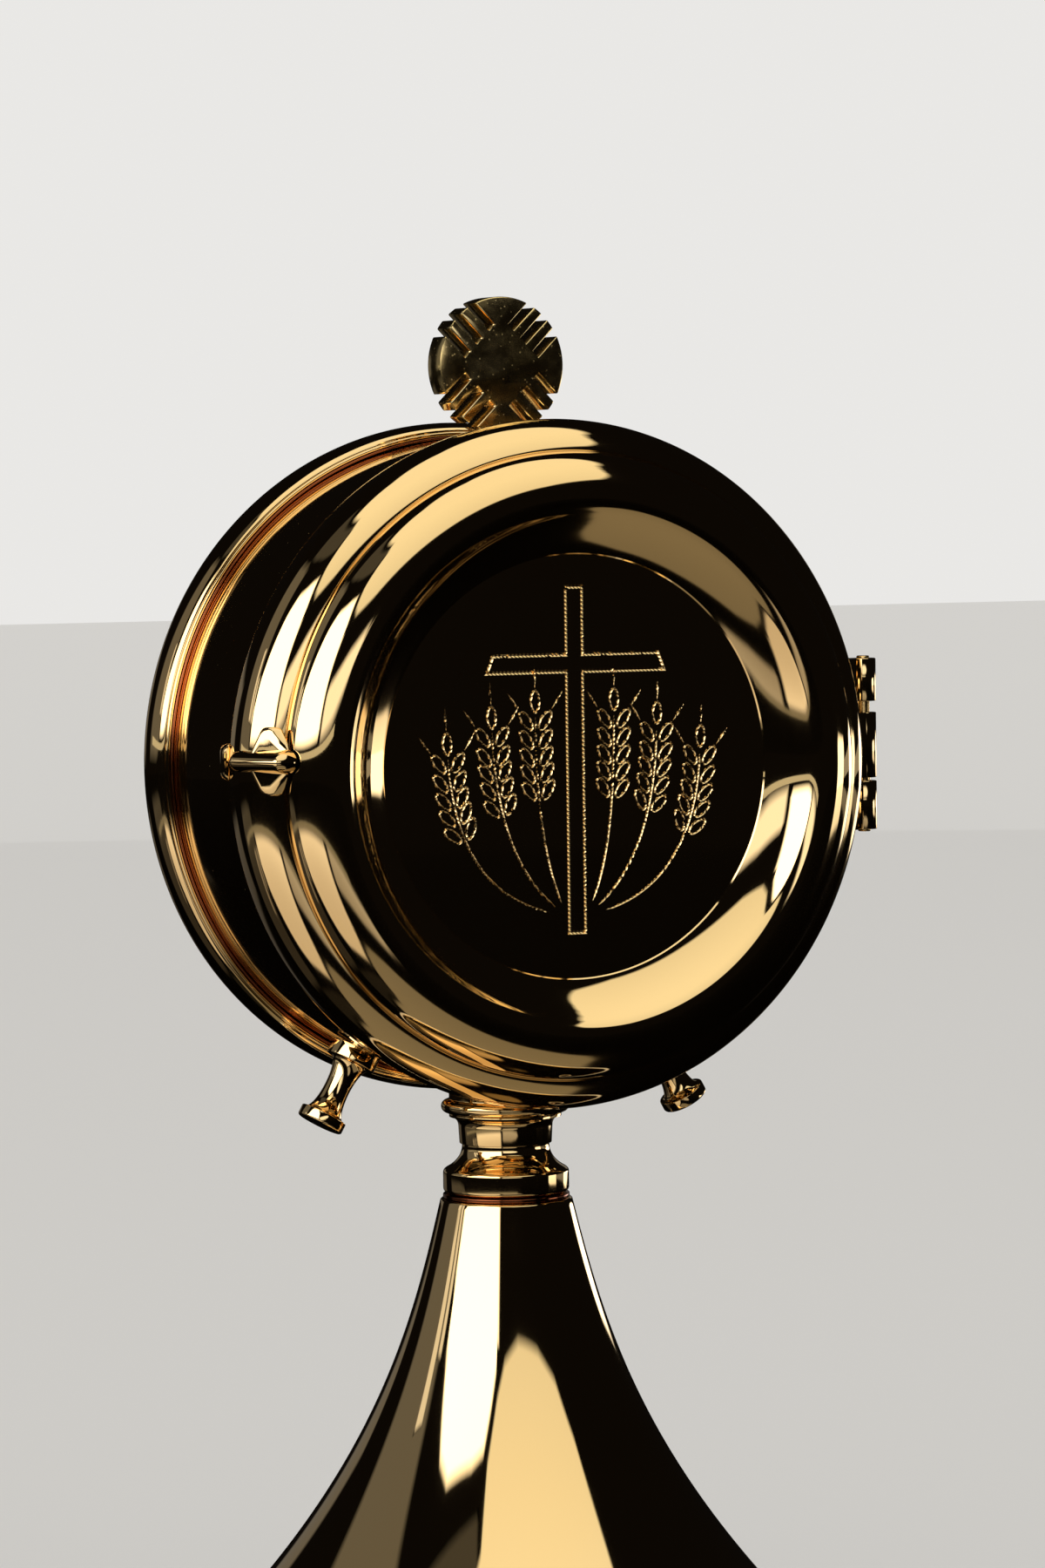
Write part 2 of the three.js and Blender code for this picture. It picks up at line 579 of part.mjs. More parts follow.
// Catch lug: a rounded plate on the drum behind the lid's edge
function addCatchLug() {
  const inner = DRUM_RADIUS + SEAT_GAP;
  const outer = inner + LUG_REACH;
  const half = LUG_HEIGHT / 2;
  const outline = new THREE.Shape();
  outline.moveTo(-inner, -half);
  outline.lineTo(-inner, half);
  outline.lineTo(-outer + LUG_CORNER, half);
  outline.absarc(-outer + LUG_CORNER, half - LUG_CORNER, LUG_CORNER, Math.PI / 2, Math.PI, false);
  outline.absarc(-outer + LUG_CORNER, LUG_CORNER - half, LUG_CORNER, Math.PI, Math.PI * 1.5, false);
  outline.closePath();
  const plate = extruded(outline, LUG_THICKNESS, ROUND_STEPS).applyMatrix4(UP);
  const lug = addPiece('catch_lug', plate, 'gilt', drumGroup);
  lug.position.set(0, -COVER_EDGE + SEAT_GAP + LUG_THICKNESS, LUG_RISE);
}

// Hinge: two leaves with rolled knuckles and a pin
function addHinge() {
  const low = HINGE_RISE - (BOTTOM_KNUCKLE + MIDDLE_KNUCKLE + TOP_KNUCKLE + KNUCKLE_GAP + PIN_SHOW) / 2;
  const middleLow = low + BOTTOM_KNUCKLE + KNUCKLE_GAP;
  const topLow = middleLow + MIDDLE_KNUCKLE + PIN_SHOW;
  const high = topLow + TOP_KNUCKLE;
  const axisY = -COVER_EDGE;
  const clearX = HINGE_X - KNUCKLE_RADIUS - FIT_GAP;

  const knuckle = (from, to) => {
    const barrel = new THREE.CylinderGeometry(KNUCKLE_RADIUS, KNUCKLE_RADIUS, to - from, SMALL_FACETS);
    return barrel.applyMatrix4(UP).translate(HINGE_X, axisY, (from + to) / 2);
  };
  const leaf = (side, seatRadius, spans) => {
    const leafY = axisY + side * (SEAT_GAP + LEAF_SHEET / 2);
    const start = seatRadius - KNUCKLE_RADIUS * 2;
    const plate = (end, from, to) => {
      const sheet = block(end - start, LEAF_SHEET, to - from, (end + start) / 2, leafY, (from + to) / 2);
      return solid(sheet);
    };
    let body = plate(clearX, low, high);
    for (const [from, to] of spans) body = body.add(plate(HINGE_X, from, to)).add(solid(knuckle(from, to)));
    const bore = new THREE.CylinderGeometry(PIN_RADIUS + PIN_CLEARANCE, PIN_RADIUS + PIN_CLEARANCE,
      (high - low) * 2, SMALL_FACETS);
    body = body.subtract(solid(bore.applyMatrix4(UP).translate(HINGE_X, axisY, HINGE_RISE)));
    return body.subtract(solid(drumCutter(seatRadius, DRUM_BAND * 2)));
  };

  const caseLeaf = leaf(1, DRUM_RADIUS + SEAT_GAP, [[low, low + BOTTOM_KNUCKLE], [topLow, high]]);
  addPiece('case_hinge_leaf', fromSolid(caseLeaf), 'gilt', drumGroup);
  const lidLeaf = leaf(-1, COVER_RADIUS + FIT_GAP, [[middleLow, middleLow + MIDDLE_KNUCKLE]]);
  addPiece('lid_hinge_leaf', fromSolid(lidLeaf), 'gilt', drumGroup);

  const pinLow = low - PIN_PROUD;
  const pinHigh = high + PIN_PROUD;
  const pin = new THREE.CylinderGeometry(PIN_RADIUS, PIN_RADIUS, pinHigh - pinLow, SMALL_FACETS);
  pin.applyMatrix4(UP);
  addPiece('hinge_pin', pin, 'steel', drumGroup).position.set(HINGE_X, axisY, (pinLow + pinHigh) / 2);
}

// Cradle
function addCradle() {
  const inner = BOLT_HEAD_RADIUS + CRADLE_BOLT_ROOM;
  const outer = inner + CRADLE_SHEET;
  const foot = DRUM_INNER - SEAT_GAP;
  const lip = CRADLE_FLOOR_INNER - CRADLE_LIP;
  const section = [
    [lip, -outer], [foot, -outer], [foot, -inner], [CRADLE_FLOOR_OUTER, -inner],
    [CRADLE_FLOOR_OUTER, inner], [foot, inner], [foot, outer], [lip, outer],
    [lip, inner], [CRADLE_FLOOR_INNER, inner], [CRADLE_FLOOR_INNER, -inner], [lip, -inner],
    [lip, -outer],
  ];
  const reach = DRUM_RADIUS * Math.tan(CRADLE_HALF_ANGLE);
  const wedge = new THREE.Shape([
    new THREE.Vector2(0, 0),
    new THREE.Vector2(-reach, -DRUM_RADIUS),
    new THREE.Vector2(reach, -DRUM_RADIUS),
  ]);
  const sector = extruded(wedge, outer * 4).translate(0, 0, -outer * 2).applyMatrix4(UP);
  let channel = solid(turned(section, CASE_FACETS, TO_BACK)).intersect(solid(sector));
  for (const angle of [PEG_ANGLE, -PEG_ANGLE]) {
    channel = channel.subtract(solid(spoke(TENON_RADIUS + SEAT_GAP, lip, DRUM_RADIUS, angle)));
  }
  addPiece('luna_cradle', fromSolid(channel), 'gilt', stemPlane);
}

// Pegs
function addPegs() {
  const base = DRUM_RADIUS + SEAT_GAP;
  const end = base + PEG_LENGTH;
  const headSeat = flatSeat(CRADLE_FLOOR_INNER, TENON_HEAD_RADIUS);
  const waistStart = base + PEG_BASE_LENGTH;
  const waistEnd = end - PEG_END_LENGTH;
  const waistMiddle = (waistStart + waistEnd) / 2;
  const waistHalf = (waistEnd - waistStart) / 2;
  const profile = [
    ...arc(0, headSeat, TENON_HEAD_RADIUS, TENON_HEAD_HEIGHT, -Math.PI / 2, 0, EDGE_STEPS),
    [TENON_RADIUS, headSeat],
    [TENON_RADIUS, base],
    [PEG_BASE_RADIUS, base],
    [PEG_BASE_RADIUS, waistStart],
    ...arc(PEG_SHOULDER_RADIUS, waistMiddle, PEG_SHOULDER_RADIUS - PEG_WAIST_RADIUS, waistHalf,
      Math.PI * 1.5, Math.PI * 0.5, WAIST_STEPS),
    [PEG_END_RADIUS, waistEnd],
    [PEG_END_RADIUS, end],
    [0, end],
  ];
  const sides = { peg_left: PEG_ANGLE, peg_right: -PEG_ANGLE };
  for (const [name, angle] of Object.entries(sides)) {
    addPiece(name, turned(profile, SMALL_FACETS, spokeTurn(angle)), 'gilt', stemPlane);
  }
}

// Finial: a disc with three parallel notches cut in from its rim on each diagonal
function finialOutline() {
  const outline = new THREE.Shape();
  const rimAngle = (across) => Math.asin(across / FINIAL_RADIUS);
  let started = false;
  for (let group = 0; group < NOTCH_GROUPS; group += 1) {
    const diagonal = ((group + 0.5) * 2 * Math.PI) / NOTCH_GROUPS;
    const place = (u, v) => [
      u * Math.cos(diagonal) - v * Math.sin(diagonal),
      u * Math.sin(diagonal) + v * Math.cos(diagonal),
    ];
    for (const middle of [-NOTCH_SPACING, 0, NOTCH_SPACING]) {
      const [near, far] = [middle - NOTCH_WIDTH / 2, middle + NOTCH_WIDTH / 2];
      const rim = Math.sqrt(FINIAL_RADIUS ** 2 - near ** 2);
      if (!started) outline.moveTo(...place(rim, near));
      started = true;
      outline.lineTo(...place(NOTCH_INNER, near));
      outline.lineTo(...place(NOTCH_INNER, far));
      const next = middle < NOTCH_SPACING ? middle + NOTCH_SPACING - NOTCH_WIDTH / 2
        : -NOTCH_SPACING - NOTCH_WIDTH / 2;
      const turn = middle < NOTCH_SPACING ? 0 : (2 * Math.PI) / NOTCH_GROUPS;
      outline.lineTo(...place(Math.sqrt(FINIAL_RADIUS ** 2 - far ** 2), far));
      outline.absarc(0, 0, FINIAL_RADIUS, diagonal + rimAngle(far), diagonal + turn + rimAngle(next), false);
    }
  }
  return outline;
}

function addFinial() {
  const centre = DRUM_RADIUS + FINIAL_STANDOFF + FINIAL_RADIUS;
  const disc = extruded(finialOutline(), FINIAL_THICKNESS, SLOPE_STEPS);
  disc.translate(0, 0, -FINIAL_THICKNESS / 2).applyMatrix4(UP);
  // The stud's hole stops a wall's thickness short of the notches on either side of it
  const holeRadius = STUD_RADIUS + FIT_GAP;
  const holeTop = centre - Math.SQRT2 * (NOTCH_SPACING + NOTCH_WIDTH / 2) - holeRadius - STUD_WALL;
  const hole = spoke(holeRadius, centre - 2 * FINIAL_RADIUS, holeTop, Math.PI);
  const drilled = solid(disc, new THREE.Matrix4().makeTranslation(0, 0, centre)).subtract(solid(hole));
  addPiece('finial_disc', fromSolid(drilled), 'giltSatin', stemPlane);

  const headSeat = flatSeat(DRUM_INNER, STUD_HEAD_RADIUS);
  const top = holeTop - FIT_GAP;
  const stud = [
    ...arc(0, headSeat, STUD_HEAD_RADIUS, STUD_HEAD_HEIGHT, -Math.PI / 2, 0, EDGE_STEPS),
    [STUD_RADIUS, headSeat],
    [STUD_RADIUS, top],
    [0, top],
  ];
  addPiece('finial_stud', turned(stud, SMALL_FACETS), 'gilt', stemPlane);
}

addFoot();
addStem();
addDrum();
addCovers();
addThumbTab();
addCatchLug();
addHinge();
addCradle();
addPegs();
addFinial();

export default model;
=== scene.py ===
# Luna holder: a round gilded case with a hinged front cover, on a trumpet foot.
# Sizes in the dictionaries are millimetres and degrees unless a name says otherwise.
import math
import bmesh
import bpy
from mathutils import Matrix, Vector
from mathutils.geometry import delaunay_2d_cdt


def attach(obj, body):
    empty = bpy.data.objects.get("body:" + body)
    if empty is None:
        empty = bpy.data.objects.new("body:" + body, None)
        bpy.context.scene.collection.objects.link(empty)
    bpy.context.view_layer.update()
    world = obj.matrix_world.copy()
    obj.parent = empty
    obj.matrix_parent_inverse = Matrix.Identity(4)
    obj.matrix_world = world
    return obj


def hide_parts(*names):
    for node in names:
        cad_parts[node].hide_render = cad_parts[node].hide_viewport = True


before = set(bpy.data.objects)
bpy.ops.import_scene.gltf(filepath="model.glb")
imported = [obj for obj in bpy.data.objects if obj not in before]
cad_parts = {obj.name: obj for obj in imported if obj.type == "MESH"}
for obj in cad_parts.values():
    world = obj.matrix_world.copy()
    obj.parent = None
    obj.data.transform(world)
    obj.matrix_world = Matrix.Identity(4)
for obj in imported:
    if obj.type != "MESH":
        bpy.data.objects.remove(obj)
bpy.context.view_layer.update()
mm = 0.001
scene = bpy.context.scene
scene.view_settings.view_transform = "Standard"

# Places that several pieces share, measured from the middle of the foot's underside
holder = {"caseHeight": 124.5, "drumForward": 1.2}
caseMiddle = Vector((0, 0, holder["caseHeight"] * mm))


# Camera: the photograph's viewing angle

def makeCamera():
    view = {"azimuth": -25.732, "elevation": 2.719, "roll": 0.747, "distance": 700, "focalPixels": 6470.2,
            "aimPixel": (574.89, 872.45), "imageSize": (1200, 1800), "sensor": 36, "clip": (0.01, 20)}
    a, e, k = (math.radians(view[name]) for name in ("azimuth", "elevation", "roll"))
    level = Vector((math.cos(a), math.sin(a), 0))
    towards = Vector((math.sin(a) * math.cos(e), -math.cos(a) * math.cos(e), math.sin(e)))
    above = towards.cross(level)
    right = level * math.cos(k) - above * math.sin(k)
    up = level * math.sin(k) + above * math.cos(k)
    data = bpy.data.cameras.new("photographCamera")
    width, height = view["imageSize"]
    aimX, aimY = view["aimPixel"]
    data.sensor_width = view["sensor"]
    data.lens = view["focalPixels"] / height * view["sensor"]
    data.shift_x = (width / 2 - aimX) / height
    data.shift_y = (aimY - height / 2) / height
    data.clip_start, data.clip_end = view["clip"]
    camera = bpy.data.objects.new("photographCamera", data)
    turn = Matrix((right, up, towards)).transposed().to_4x4()
    camera.matrix_world = Matrix.Translation(caseMiddle + towards * view["distance"] * mm) @ turn
    scene.collection.objects.link(camera)
    scene.camera = camera


makeCamera()
print("stage: camera in place")


# Node helpers

def addNode(tree, kind, inputs=None, **settings):
    node = tree.nodes.new(kind)
    for name, value in settings.items():
        setattr(node, name, value)
    for name, value in (inputs or {}).items():
        socket = node.inputs[name]
        if isinstance(value, bpy.types.NodeSocket):
            tree.links.new(value, socket)
        else:
            socket.default_value = value
    return node


def calc(tree, operation, first, second=None):
    inputs = {0: first} if second is None else {0: first, 1: second}
    return addNode(tree, "ShaderNodeMath", inputs, operation=operation).outputs[0]


def newMaterial(name):
    material = bpy.data.materials.new(name)
    material.use_nodes = True
    material.node_tree.nodes.clear()
    return material, material.node_tree


def surface(tree, kind, inputs):
    shader = addNode(tree, kind, inputs)
    addNode(tree, "ShaderNodeOutputMaterial", {"Surface": shader.outputs[0]})


# Metals

noiseSpan = {"drift": (0.3, 0.7), "smudge": (0.35, 0.75)}


def makeMetal(name, colour, otherColour, drift, smudge, roughness, grain, ripple, speck=None):
    # Polished metal: a slow drift of tone, smudges in the gloss, a faint ripple left by lathe and buffing
    # wheel, and fine grain or dust. Drift and smudge are scales, grain and ripple (scale, height), and
    # a speck (scale, size, height, roughness)
    material, tree = newMaterial(name)
    place = addNode(tree, "ShaderNodeTexCoord").outputs["Object"]

    def noise(scale, detail, rough=0.5):
        return addNode(tree, "ShaderNodeTexNoise", {
            "Vector": place, "Scale": scale, "Detail": detail, "Roughness": rough}).outputs[0]

    def spread(value, low, high, bottom, top):
        return addNode(tree, "ShaderNodeMapRange", {
            "Value": value, "From Min": low, "From Max": high, "To Min": bottom, "To Max": top}).outputs[0]

    blend = spread(noise(drift, 2.0), *noiseSpan["drift"], 0.0, 1.0)
    tone = addNode(tree, "ShaderNodeMix", {0: blend, 6: (*colour, 1), 7: (*otherColour, 1)}, data_type="RGBA")
    gloss = spread(noise(smudge, 4.0, 0.6), *noiseSpan["smudge"], *roughness)
    height = calc(tree, "MULTIPLY", noise(ripple[0], 1.0), ripple[1] * mm)
    height = calc(tree, "ADD", height, calc(tree, "MULTIPLY", noise(grain[0], 2.0), grain[1] * mm))
    if speck:
        cells = addNode(tree, "ShaderNodeTexVoronoi", {"Vector": place, "Scale": speck[0]})
        dot = spread(cells.outputs["Distance"], 0.0, speck[1], 1.0, 0.0)
        height = calc(tree, "ADD", height, calc(tree, "MULTIPLY", dot, speck[2] * mm))
        gloss = calc(tree, "ADD", gloss, calc(tree, "MULTIPLY", dot, speck[3]))
    bump = addNode(tree, "ShaderNodeBump", {"Height": height, "Strength": 1.0, "Distance": 1.0})
    surface(tree, "ShaderNodeBsdfPrincipled", {
        "Base Color": tone.outputs[2], "Metallic": 1.0, "Roughness": gloss, "Normal": bump.outputs[0]})
    return material


gilt = makeMetal("polishedGilt", (1, 0.70, 0.33), (1, 0.73, 0.38), drift=18, smudge=60,
                 roughness=(0.025, 0.05), grain=(2600, 0.00003), ripple=(48, 0.003))
drumGilt = makeMetal("dustyGilt", (1, 0.70, 0.33), (1, 0.73, 0.38), drift=18, smudge=60,
                     roughness=(0.03, 0.07), grain=(2600, 0.00003), ripple=(48, 0.003),
                     speck=(420, 0.05, 0.006, 0.5))
finialGilt = makeMetal("speckledGilt", (1, 0.74, 0.32), (1, 0.78, 0.40), drift=160, smudge=500,
                       roughness=(0.12, 0.22), grain=(2400, 0.0008), ripple=(180, 0.004),
                       speck=(1300, 0.2, 0.010, 0.3))
satinGilt = makeMetal("satinGilt", (0.92, 0.62, 0.26), (1, 0.72, 0.36), drift=160, smudge=500,
                      roughness=(0.16, 0.30), grain=(2200, 0.002), ripple=(220, 0.006))
cutGilt = makeMetal("brightCutGilt", (1, 0.86, 0.62), (1, 0.80, 0.52), drift=300, smudge=900,
                    roughness=(0.30, 0.45), grain=(5200, 0.003), ripple=(800, 0.002))
copper = makeMetal("copperTone", (0.28, 0.085, 0.035), (0.37, 0.125, 0.055), drift=60, smudge=120,
                   roughness=(0.10, 0.18), grain=(2600, 0.0002), ripple=(120, 0.003))
steel = makeMetal("plainSteel", (0.56, 0.57, 0.58), (0.64, 0.64, 0.64), drift=90, smudge=300,
                  roughness=(0.26, 0.42), grain=(1800, 0.0015), ripple=(240, 0.004))
print("stage: metals made")


# Turned pieces: one Geometry Nodes tree sweeps a profile round an axis

# Metres within which points are one, degrees from which an edge is sharp or bevelled
meshing = {"merge": 1e-6, "collapse": 1e-7, "sharp": 30, "bevelFrom": 40, "bevelSegments": 2}


def makeTurnedTree():
    tree = bpy.data.node_groups.new("turnedPiece", "GeometryNodeTree")
    face = tree.interface
    sockets = {name: face.new_socket(name, in_out="INPUT", socket_type="NodeSocket" + kind).identifier
               for name, kind in (("Profile", "Geometry"), ("Facets", "Int"), ("Finish", "Material"))}
    face.new_socket("Piece", in_out="OUTPUT", socket_type="NodeSocketGeometry")
    given = addNode(tree, "NodeGroupInput")
    count = addNode(tree, "GeometryNodeAttributeDomainSize", {"Geometry": given.outputs["Profile"]})
    count = count.outputs["Point Count"]
    facets = given.outputs["Facets"]
    grid = addNode(tree, "GeometryNodeMeshGrid", {
        "Size X": 1.0, "Size Y": 1.0, "Vertices Y": count, "Vertices X": calc(tree, "ADD", facets, 1.0)})
    index = addNode(tree, "GeometryNodeInputIndex").outputs[0]
    along = calc(tree, "MODULO", index, count)
    column = calc(tree, "FLOOR", calc(tree, "DIVIDE", calc(tree, "ADD", index, 0.5), count))
    angle = calc(tree, "MULTIPLY", calc(tree, "DIVIDE", column, facets), math.tau)
    position = addNode(tree, "GeometryNodeInputPosition").outputs[0]
    sample = addNode(tree, "GeometryNodeSampleIndex", {
        "Geometry": given.outputs["Profile"], "Value": position, "Index": along},
        data_type="FLOAT_VECTOR", domain="POINT")
    point = addNode(tree, "ShaderNodeSeparateXYZ", {0: sample.outputs[0]})
    swept = addNode(tree, "ShaderNodeCombineXYZ", {
        "X": calc(tree, "MULTIPLY", point.outputs["X"], calc(tree, "COSINE", angle)),
        "Y": calc(tree, "MULTIPLY", point.outputs["X"], calc(tree, "SINE", angle)),
        "Z": point.outputs["Z"]})
    shaped = addNode(tree, "GeometryNodeSetPosition", {
        "Geometry": grid.outputs["Mesh"], "Position": swept.outputs[0]})
    joined = addNode(tree, "GeometryNodeMergeByDistance", {
        "Geometry": shaped.outputs[0], "Distance": meshing["merge"]})
    real = addNode(tree, "GeometryNodeRealizeInstances", {"Geometry": joined.outputs[0]})
    dressed = addNode(tree, "GeometryNodeSetMaterial", {
        "Geometry": real.outputs[0], "Material": given.outputs["Finish"]})
    addNode(tree, "NodeGroupOutput", {0: dressed.outputs[0]})
    return tree, sockets


turnedTree, turnedSockets = makeTurnedTree()


def placeUp(height=0):
    return Matrix.Translation((0, 0, height * mm))


def placeOnDrum(forward, turn, axis="X"):
    middle = Vector((0, -forward, holder["caseHeight"])) * mm
    return Matrix.Translation(middle) @ Matrix.Rotation(math.radians(turn), 4, axis)


def placeSpoke(angle):
    # An axis that points from the drum's middle at this angle from straight down
    return placeOnDrum(0, 180 + angle, "Y")


# The drum's axis to the front and the back, and once more in the stem's plane
frontPlace = placeOnDrum(holder["drumForward"], 90)
backPlace = placeOnDrum(holder["drumForward"], -90)
seatPlace = placeOnDrum(0, 90)


def plainMesh(name, points, faces, edges=()):
    mesh = bpy.data.meshes.new(name)
    mesh.from_pydata(points, edges, faces)
    return mesh


def meshObject(name, mesh, material=None):
    piece = bpy.data.objects.new(name, mesh)
    scene.collection.objects.link(piece)
    if material:
        mesh.materials.append(material)
    return piece


def bake(piece):
    # The modifiers' result as a plain mesh
    graph = bpy.context.evaluated_depsgraph_get()
    mesh = bpy.data.meshes.new_from_object(piece.evaluated_get(graph), depsgraph=graph)
    piece.modifiers.clear()
    piece.data = mesh
    return piece


def tidy(piece, sharp=meshing["sharp"]):
    # Doubles merged, faces turned out, smooth shading that breaks at real edges
    shape = bmesh.new()
    shape.from_mesh(piece.data)
    bmesh.ops.remove_doubles(shape, verts=shape.verts, dist=meshing["merge"])
    bmesh.ops.dissolve_degenerate(shape, edges=shape.edges, dist=meshing["collapse"])
    bmesh.ops.recalc_face_normals(shape, faces=shape.faces)
    for face in shape.faces:
        face.smooth = True
    shape.to_mesh(piece.data)
    shape.free()
    piece.data.set_sharp_from_angle(angle=math.radians(sharp))
    return piece


def turned(name, profile, facets, place, material, closed=True):
    points = list(profile) + ([profile[0]] if closed else [])
    steps = [(i, i + 1) for i in range(len(points) - 1)]
    piece = meshObject(name, plainMesh(name, [(r * mm, 0, h * mm) for r, h in points], [], steps))
    sweep = piece.modifiers.new("turned", "NODES")
    sweep.node_group = turnedTree
    sweep[turnedSockets["Facets"]] = facets
    sweep[turnedSockets["Finish"]] = material
    bake(piece)
    piece.data.transform(place)
    return tidy(piece)


def rod(name, radius, near, far, facets, place, material):
    # A cylinder to cut with, between two heights on its axis
    return turned(name, [(0, near), (radius, near), (radius, far), (0, far)], facets, place, material)


def cut(piece, cutter, operation="DIFFERENCE"):
    tool = piece.modifiers.new("cut", "BOOLEAN")
    tool.operation = operation
    tool.solver = "EXACT"
    tool.object = cutter
    bake(piece)
    bpy.data.objects.remove(cutter)
    return tidy(piece)


def fromShape(name, shape, material):
    mesh = bpy.data.meshes.new(name)
    shape.to_mesh(mesh)
    shape.free()
    return tidy(meshObject(name, mesh, material))


def pushed(name, base, push, material, easing):
    # A flat face pushed along a vector, both in metres
    shape = bmesh.new()
    face = shape.faces.new([shape.verts.new(point) for point in base])
    result = bmesh.ops.extrude_face_region(shape, geom=[face])
    far = [item for item in result["geom"] if isinstance(item, bmesh.types.BMVert)]
    bmesh.ops.translate(shape, verts=far, vec=push)
    bmesh.ops.recalc_face_normals(shape, faces=shape.faces)
    if easing:
        edges = [edge for edge in shape.edges if edge.calc_face_angle(0) > math.radians(meshing["bevelFrom"])]
        bmesh.ops.bevel(shape, geom=edges, offset=easing * mm, segments=meshing["bevelSegments"], profile=0.5,
                        affect="EDGES", clamp_overlap=True)
    return fromShape(name, shape, material)


def extruded(name, outline, depth, material, middle=(0, 0, holder["caseHeight"]), easing=0):
    # A flat outline in X and Z, given a depth along Y about its middle
    base = [((x + middle[0]) * mm, (middle[1] - depth / 2) * mm, (z + middle[2]) * mm) for x, z in outline]
    return pushed(name, base, (0, depth * mm, 0), material, easing)


def standing(name, outline, low, high, material, easing=0):
    # A flat outline in X and Y, given a height along Z, about the drum's middle
    forward, middle = holder["drumForward"], holder["caseHeight"]
    base = [(x * mm, (y - forward) * mm, (low + middle) * mm) for x, y in outline]
    return pushed(name, base, (0, 0, (high - low) * mm), material, easing)


def dress(piece, body, slot, *nodes):
    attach(piece, body)
    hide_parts(*nodes)


# Profiles, in (radius, height)

def bend(centre, radii, start, end, steps):
    points = []
    for i in range(steps + 1):
        angle = math.radians(start + (end - start) * i / steps)
        points.append((centre[0] + radii[0] * math.cos(angle), centre[1] + radii[1] * math.sin(angle)))
    return points


def eased(corners, steps=4, share=0.45):
    # Corners with a third value are rounded by it, over a share of their sides at most
    points = []
    last = len(corners)
    for i, corner in enumerate(corners):
        here = Vector(corner[:2])
        if len(corner) < 3:
            points.append(tuple(here))
            continue
        before = Vector(corners[i - 1][:2]) - here
        after = Vector(corners[(i + 1) % last][:2]) - here
        half = before.angle(after) / 2
        reach = min(corner[2] / math.tan(half), before.length * share, after.length * share)
        radius = reach * math.tan(half)
        start, end = here + before.normalized() * reach, here + after.normalized() * reach
        centre = here + (before.normalized() + after.normalized()).normalized() * (radius / math.sin(half))
        first, sweep = start - centre, (start - centre).angle_signed(end - centre)
        for j in range(steps + 1):
            turn = -sweep * j / steps
            points.append((centre.x + first.x * math.cos(turn) - first.y * math.sin(turn),
                           centre.y + first.x * math.sin(turn) + first.y * math.cos(turn)))
    return points


def curvePoint(corners, share):
    # A point on the curve that four corners steer
    a, b, c, d = (Vector(corner) for corner in corners)
    rest = 1 - share
    return a * rest ** 3 + b * 3 * rest ** 2 * share + c * 3 * rest * share ** 2 + d * share ** 3


def inset(points, sheet, mitre=0.3):
    # The same line moved inwards by the sheet's thickness, with sharp corners held back
    moved = []
    for i, point in enumerate(points):
        here = Vector(point)
        before = (here - Vector(points[max(i - 1, 0)])).normalized()
        after = (Vector(points[min(i + 1, len(points) - 1)]) - here).normalized()
        if i == 0:
            before = after
        if i == len(points) - 1:
            after = before
        normal = Vector((-(before.y + after.y), before.x + after.x)).normalized()
        reach = sheet / max(normal.dot(Vector((-before.y, before.x))), mitre)
        moved.append(tuple(here + normal * reach))
    return moved


# Covers

cover = {"edgeRadius": 41.75, "radius": 42.05, "edge": 11, "sheet": 0.8, "facets": 320, "steps": 20,
         "easingSteps": 5, "shoulderStart": 3.2, "shoulderRadius": 5, "shoulderSweep": 76, "groove": 0.16,
         "grooveEasing": 0.07, "beadWidth": 5.6, "beadHeight": 4.8, "coveWidth": 6.7, "coveDepth": 3.6,
         "coveRoll": 2.85, "coveEnd": 17, "coveSteepest": 85, "coveTries": 40, "discStep": 0.15,
         "discInset": 0.6, "lidRim": 0.2, "lidSharp": 14, "backBead": 0.28, "backBeadRadius": 40.62,
         "backBeadSweep": (215, 360), "backSwell": -84, "backInner": (0.23, 0.25), "backSteps": 14}


def coveArcs(size):
    # The slope where the ridge's roll meets the hollow, and the hollow's radius, for both to reach the disc
    end = math.radians(size["coveEnd"])
    shallow, steep = size["coveEnd"] + 1, size["coveSteepest"]
    for i in range(size["coveTries"]):
        sweep = (shallow + steep) / 2
        turn = math.radians(sweep)
        hollow = (size["coveWidth"] - size["coveRoll"] * math.sin(turn)) / (math.sin(turn) - math.sin(end))
        depth = size["coveRoll"] * (1 - math.cos(turn)) + hollow * (math.cos(end) - math.cos(turn))
        if depth < size["coveDepth"]:
            shallow = sweep
        else:
            steep = sweep
    return sweep, hollow


def coverLine(size, groove, steps):
    # The outside from the shoulder over the ridge and down the cove, and where the disc begins
    centre = (size["radius"] - size["shoulderRadius"], size["edge"] + size["shoulderStart"])
    shoulder = bend(centre, (size["shoulderRadius"],) * 2, 0, size["shoulderSweep"], steps)
    endRadius, endHeight = shoulder[-1]
    ridgeRadius = endRadius - size["groove"] - size["beadWidth"]
    ridgeHeight = endHeight - size["groove"] + size["beadHeight"]
    low = endHeight - groove
    bead = bend((ridgeRadius, low), (endRadius - groove - ridgeRadius, ridgeHeight - low), 0, 90, steps)
    sweep, hollow = coveArcs(size)
    end = math.radians(size["coveEnd"])
    discRadius, discHeight = ridgeRadius - size["coveWidth"], ridgeHeight - size["coveDepth"]
    roll = bend((ridgeRadius, ridgeHeight - size["coveRoll"]), (size["coveRoll"],) * 2, 90, 90 + sweep, steps)
    dish = bend((discRadius - hollow * math.sin(end), discHeight + hollow * math.cos(end)), (hollow,) * 2,
                sweep - 90, size["coveEnd"] - 90, steps)
    line = shoulder[:-1]
    if groove:
        line += [(endRadius, endHeight, size["grooveEasing"]), (*bead[0], size["grooveEasing"])]
    line += bead[1:] + roll[1:] + dish[1:]
    step = size["discStep"]
    return line, (discRadius - step, discHeight - step)


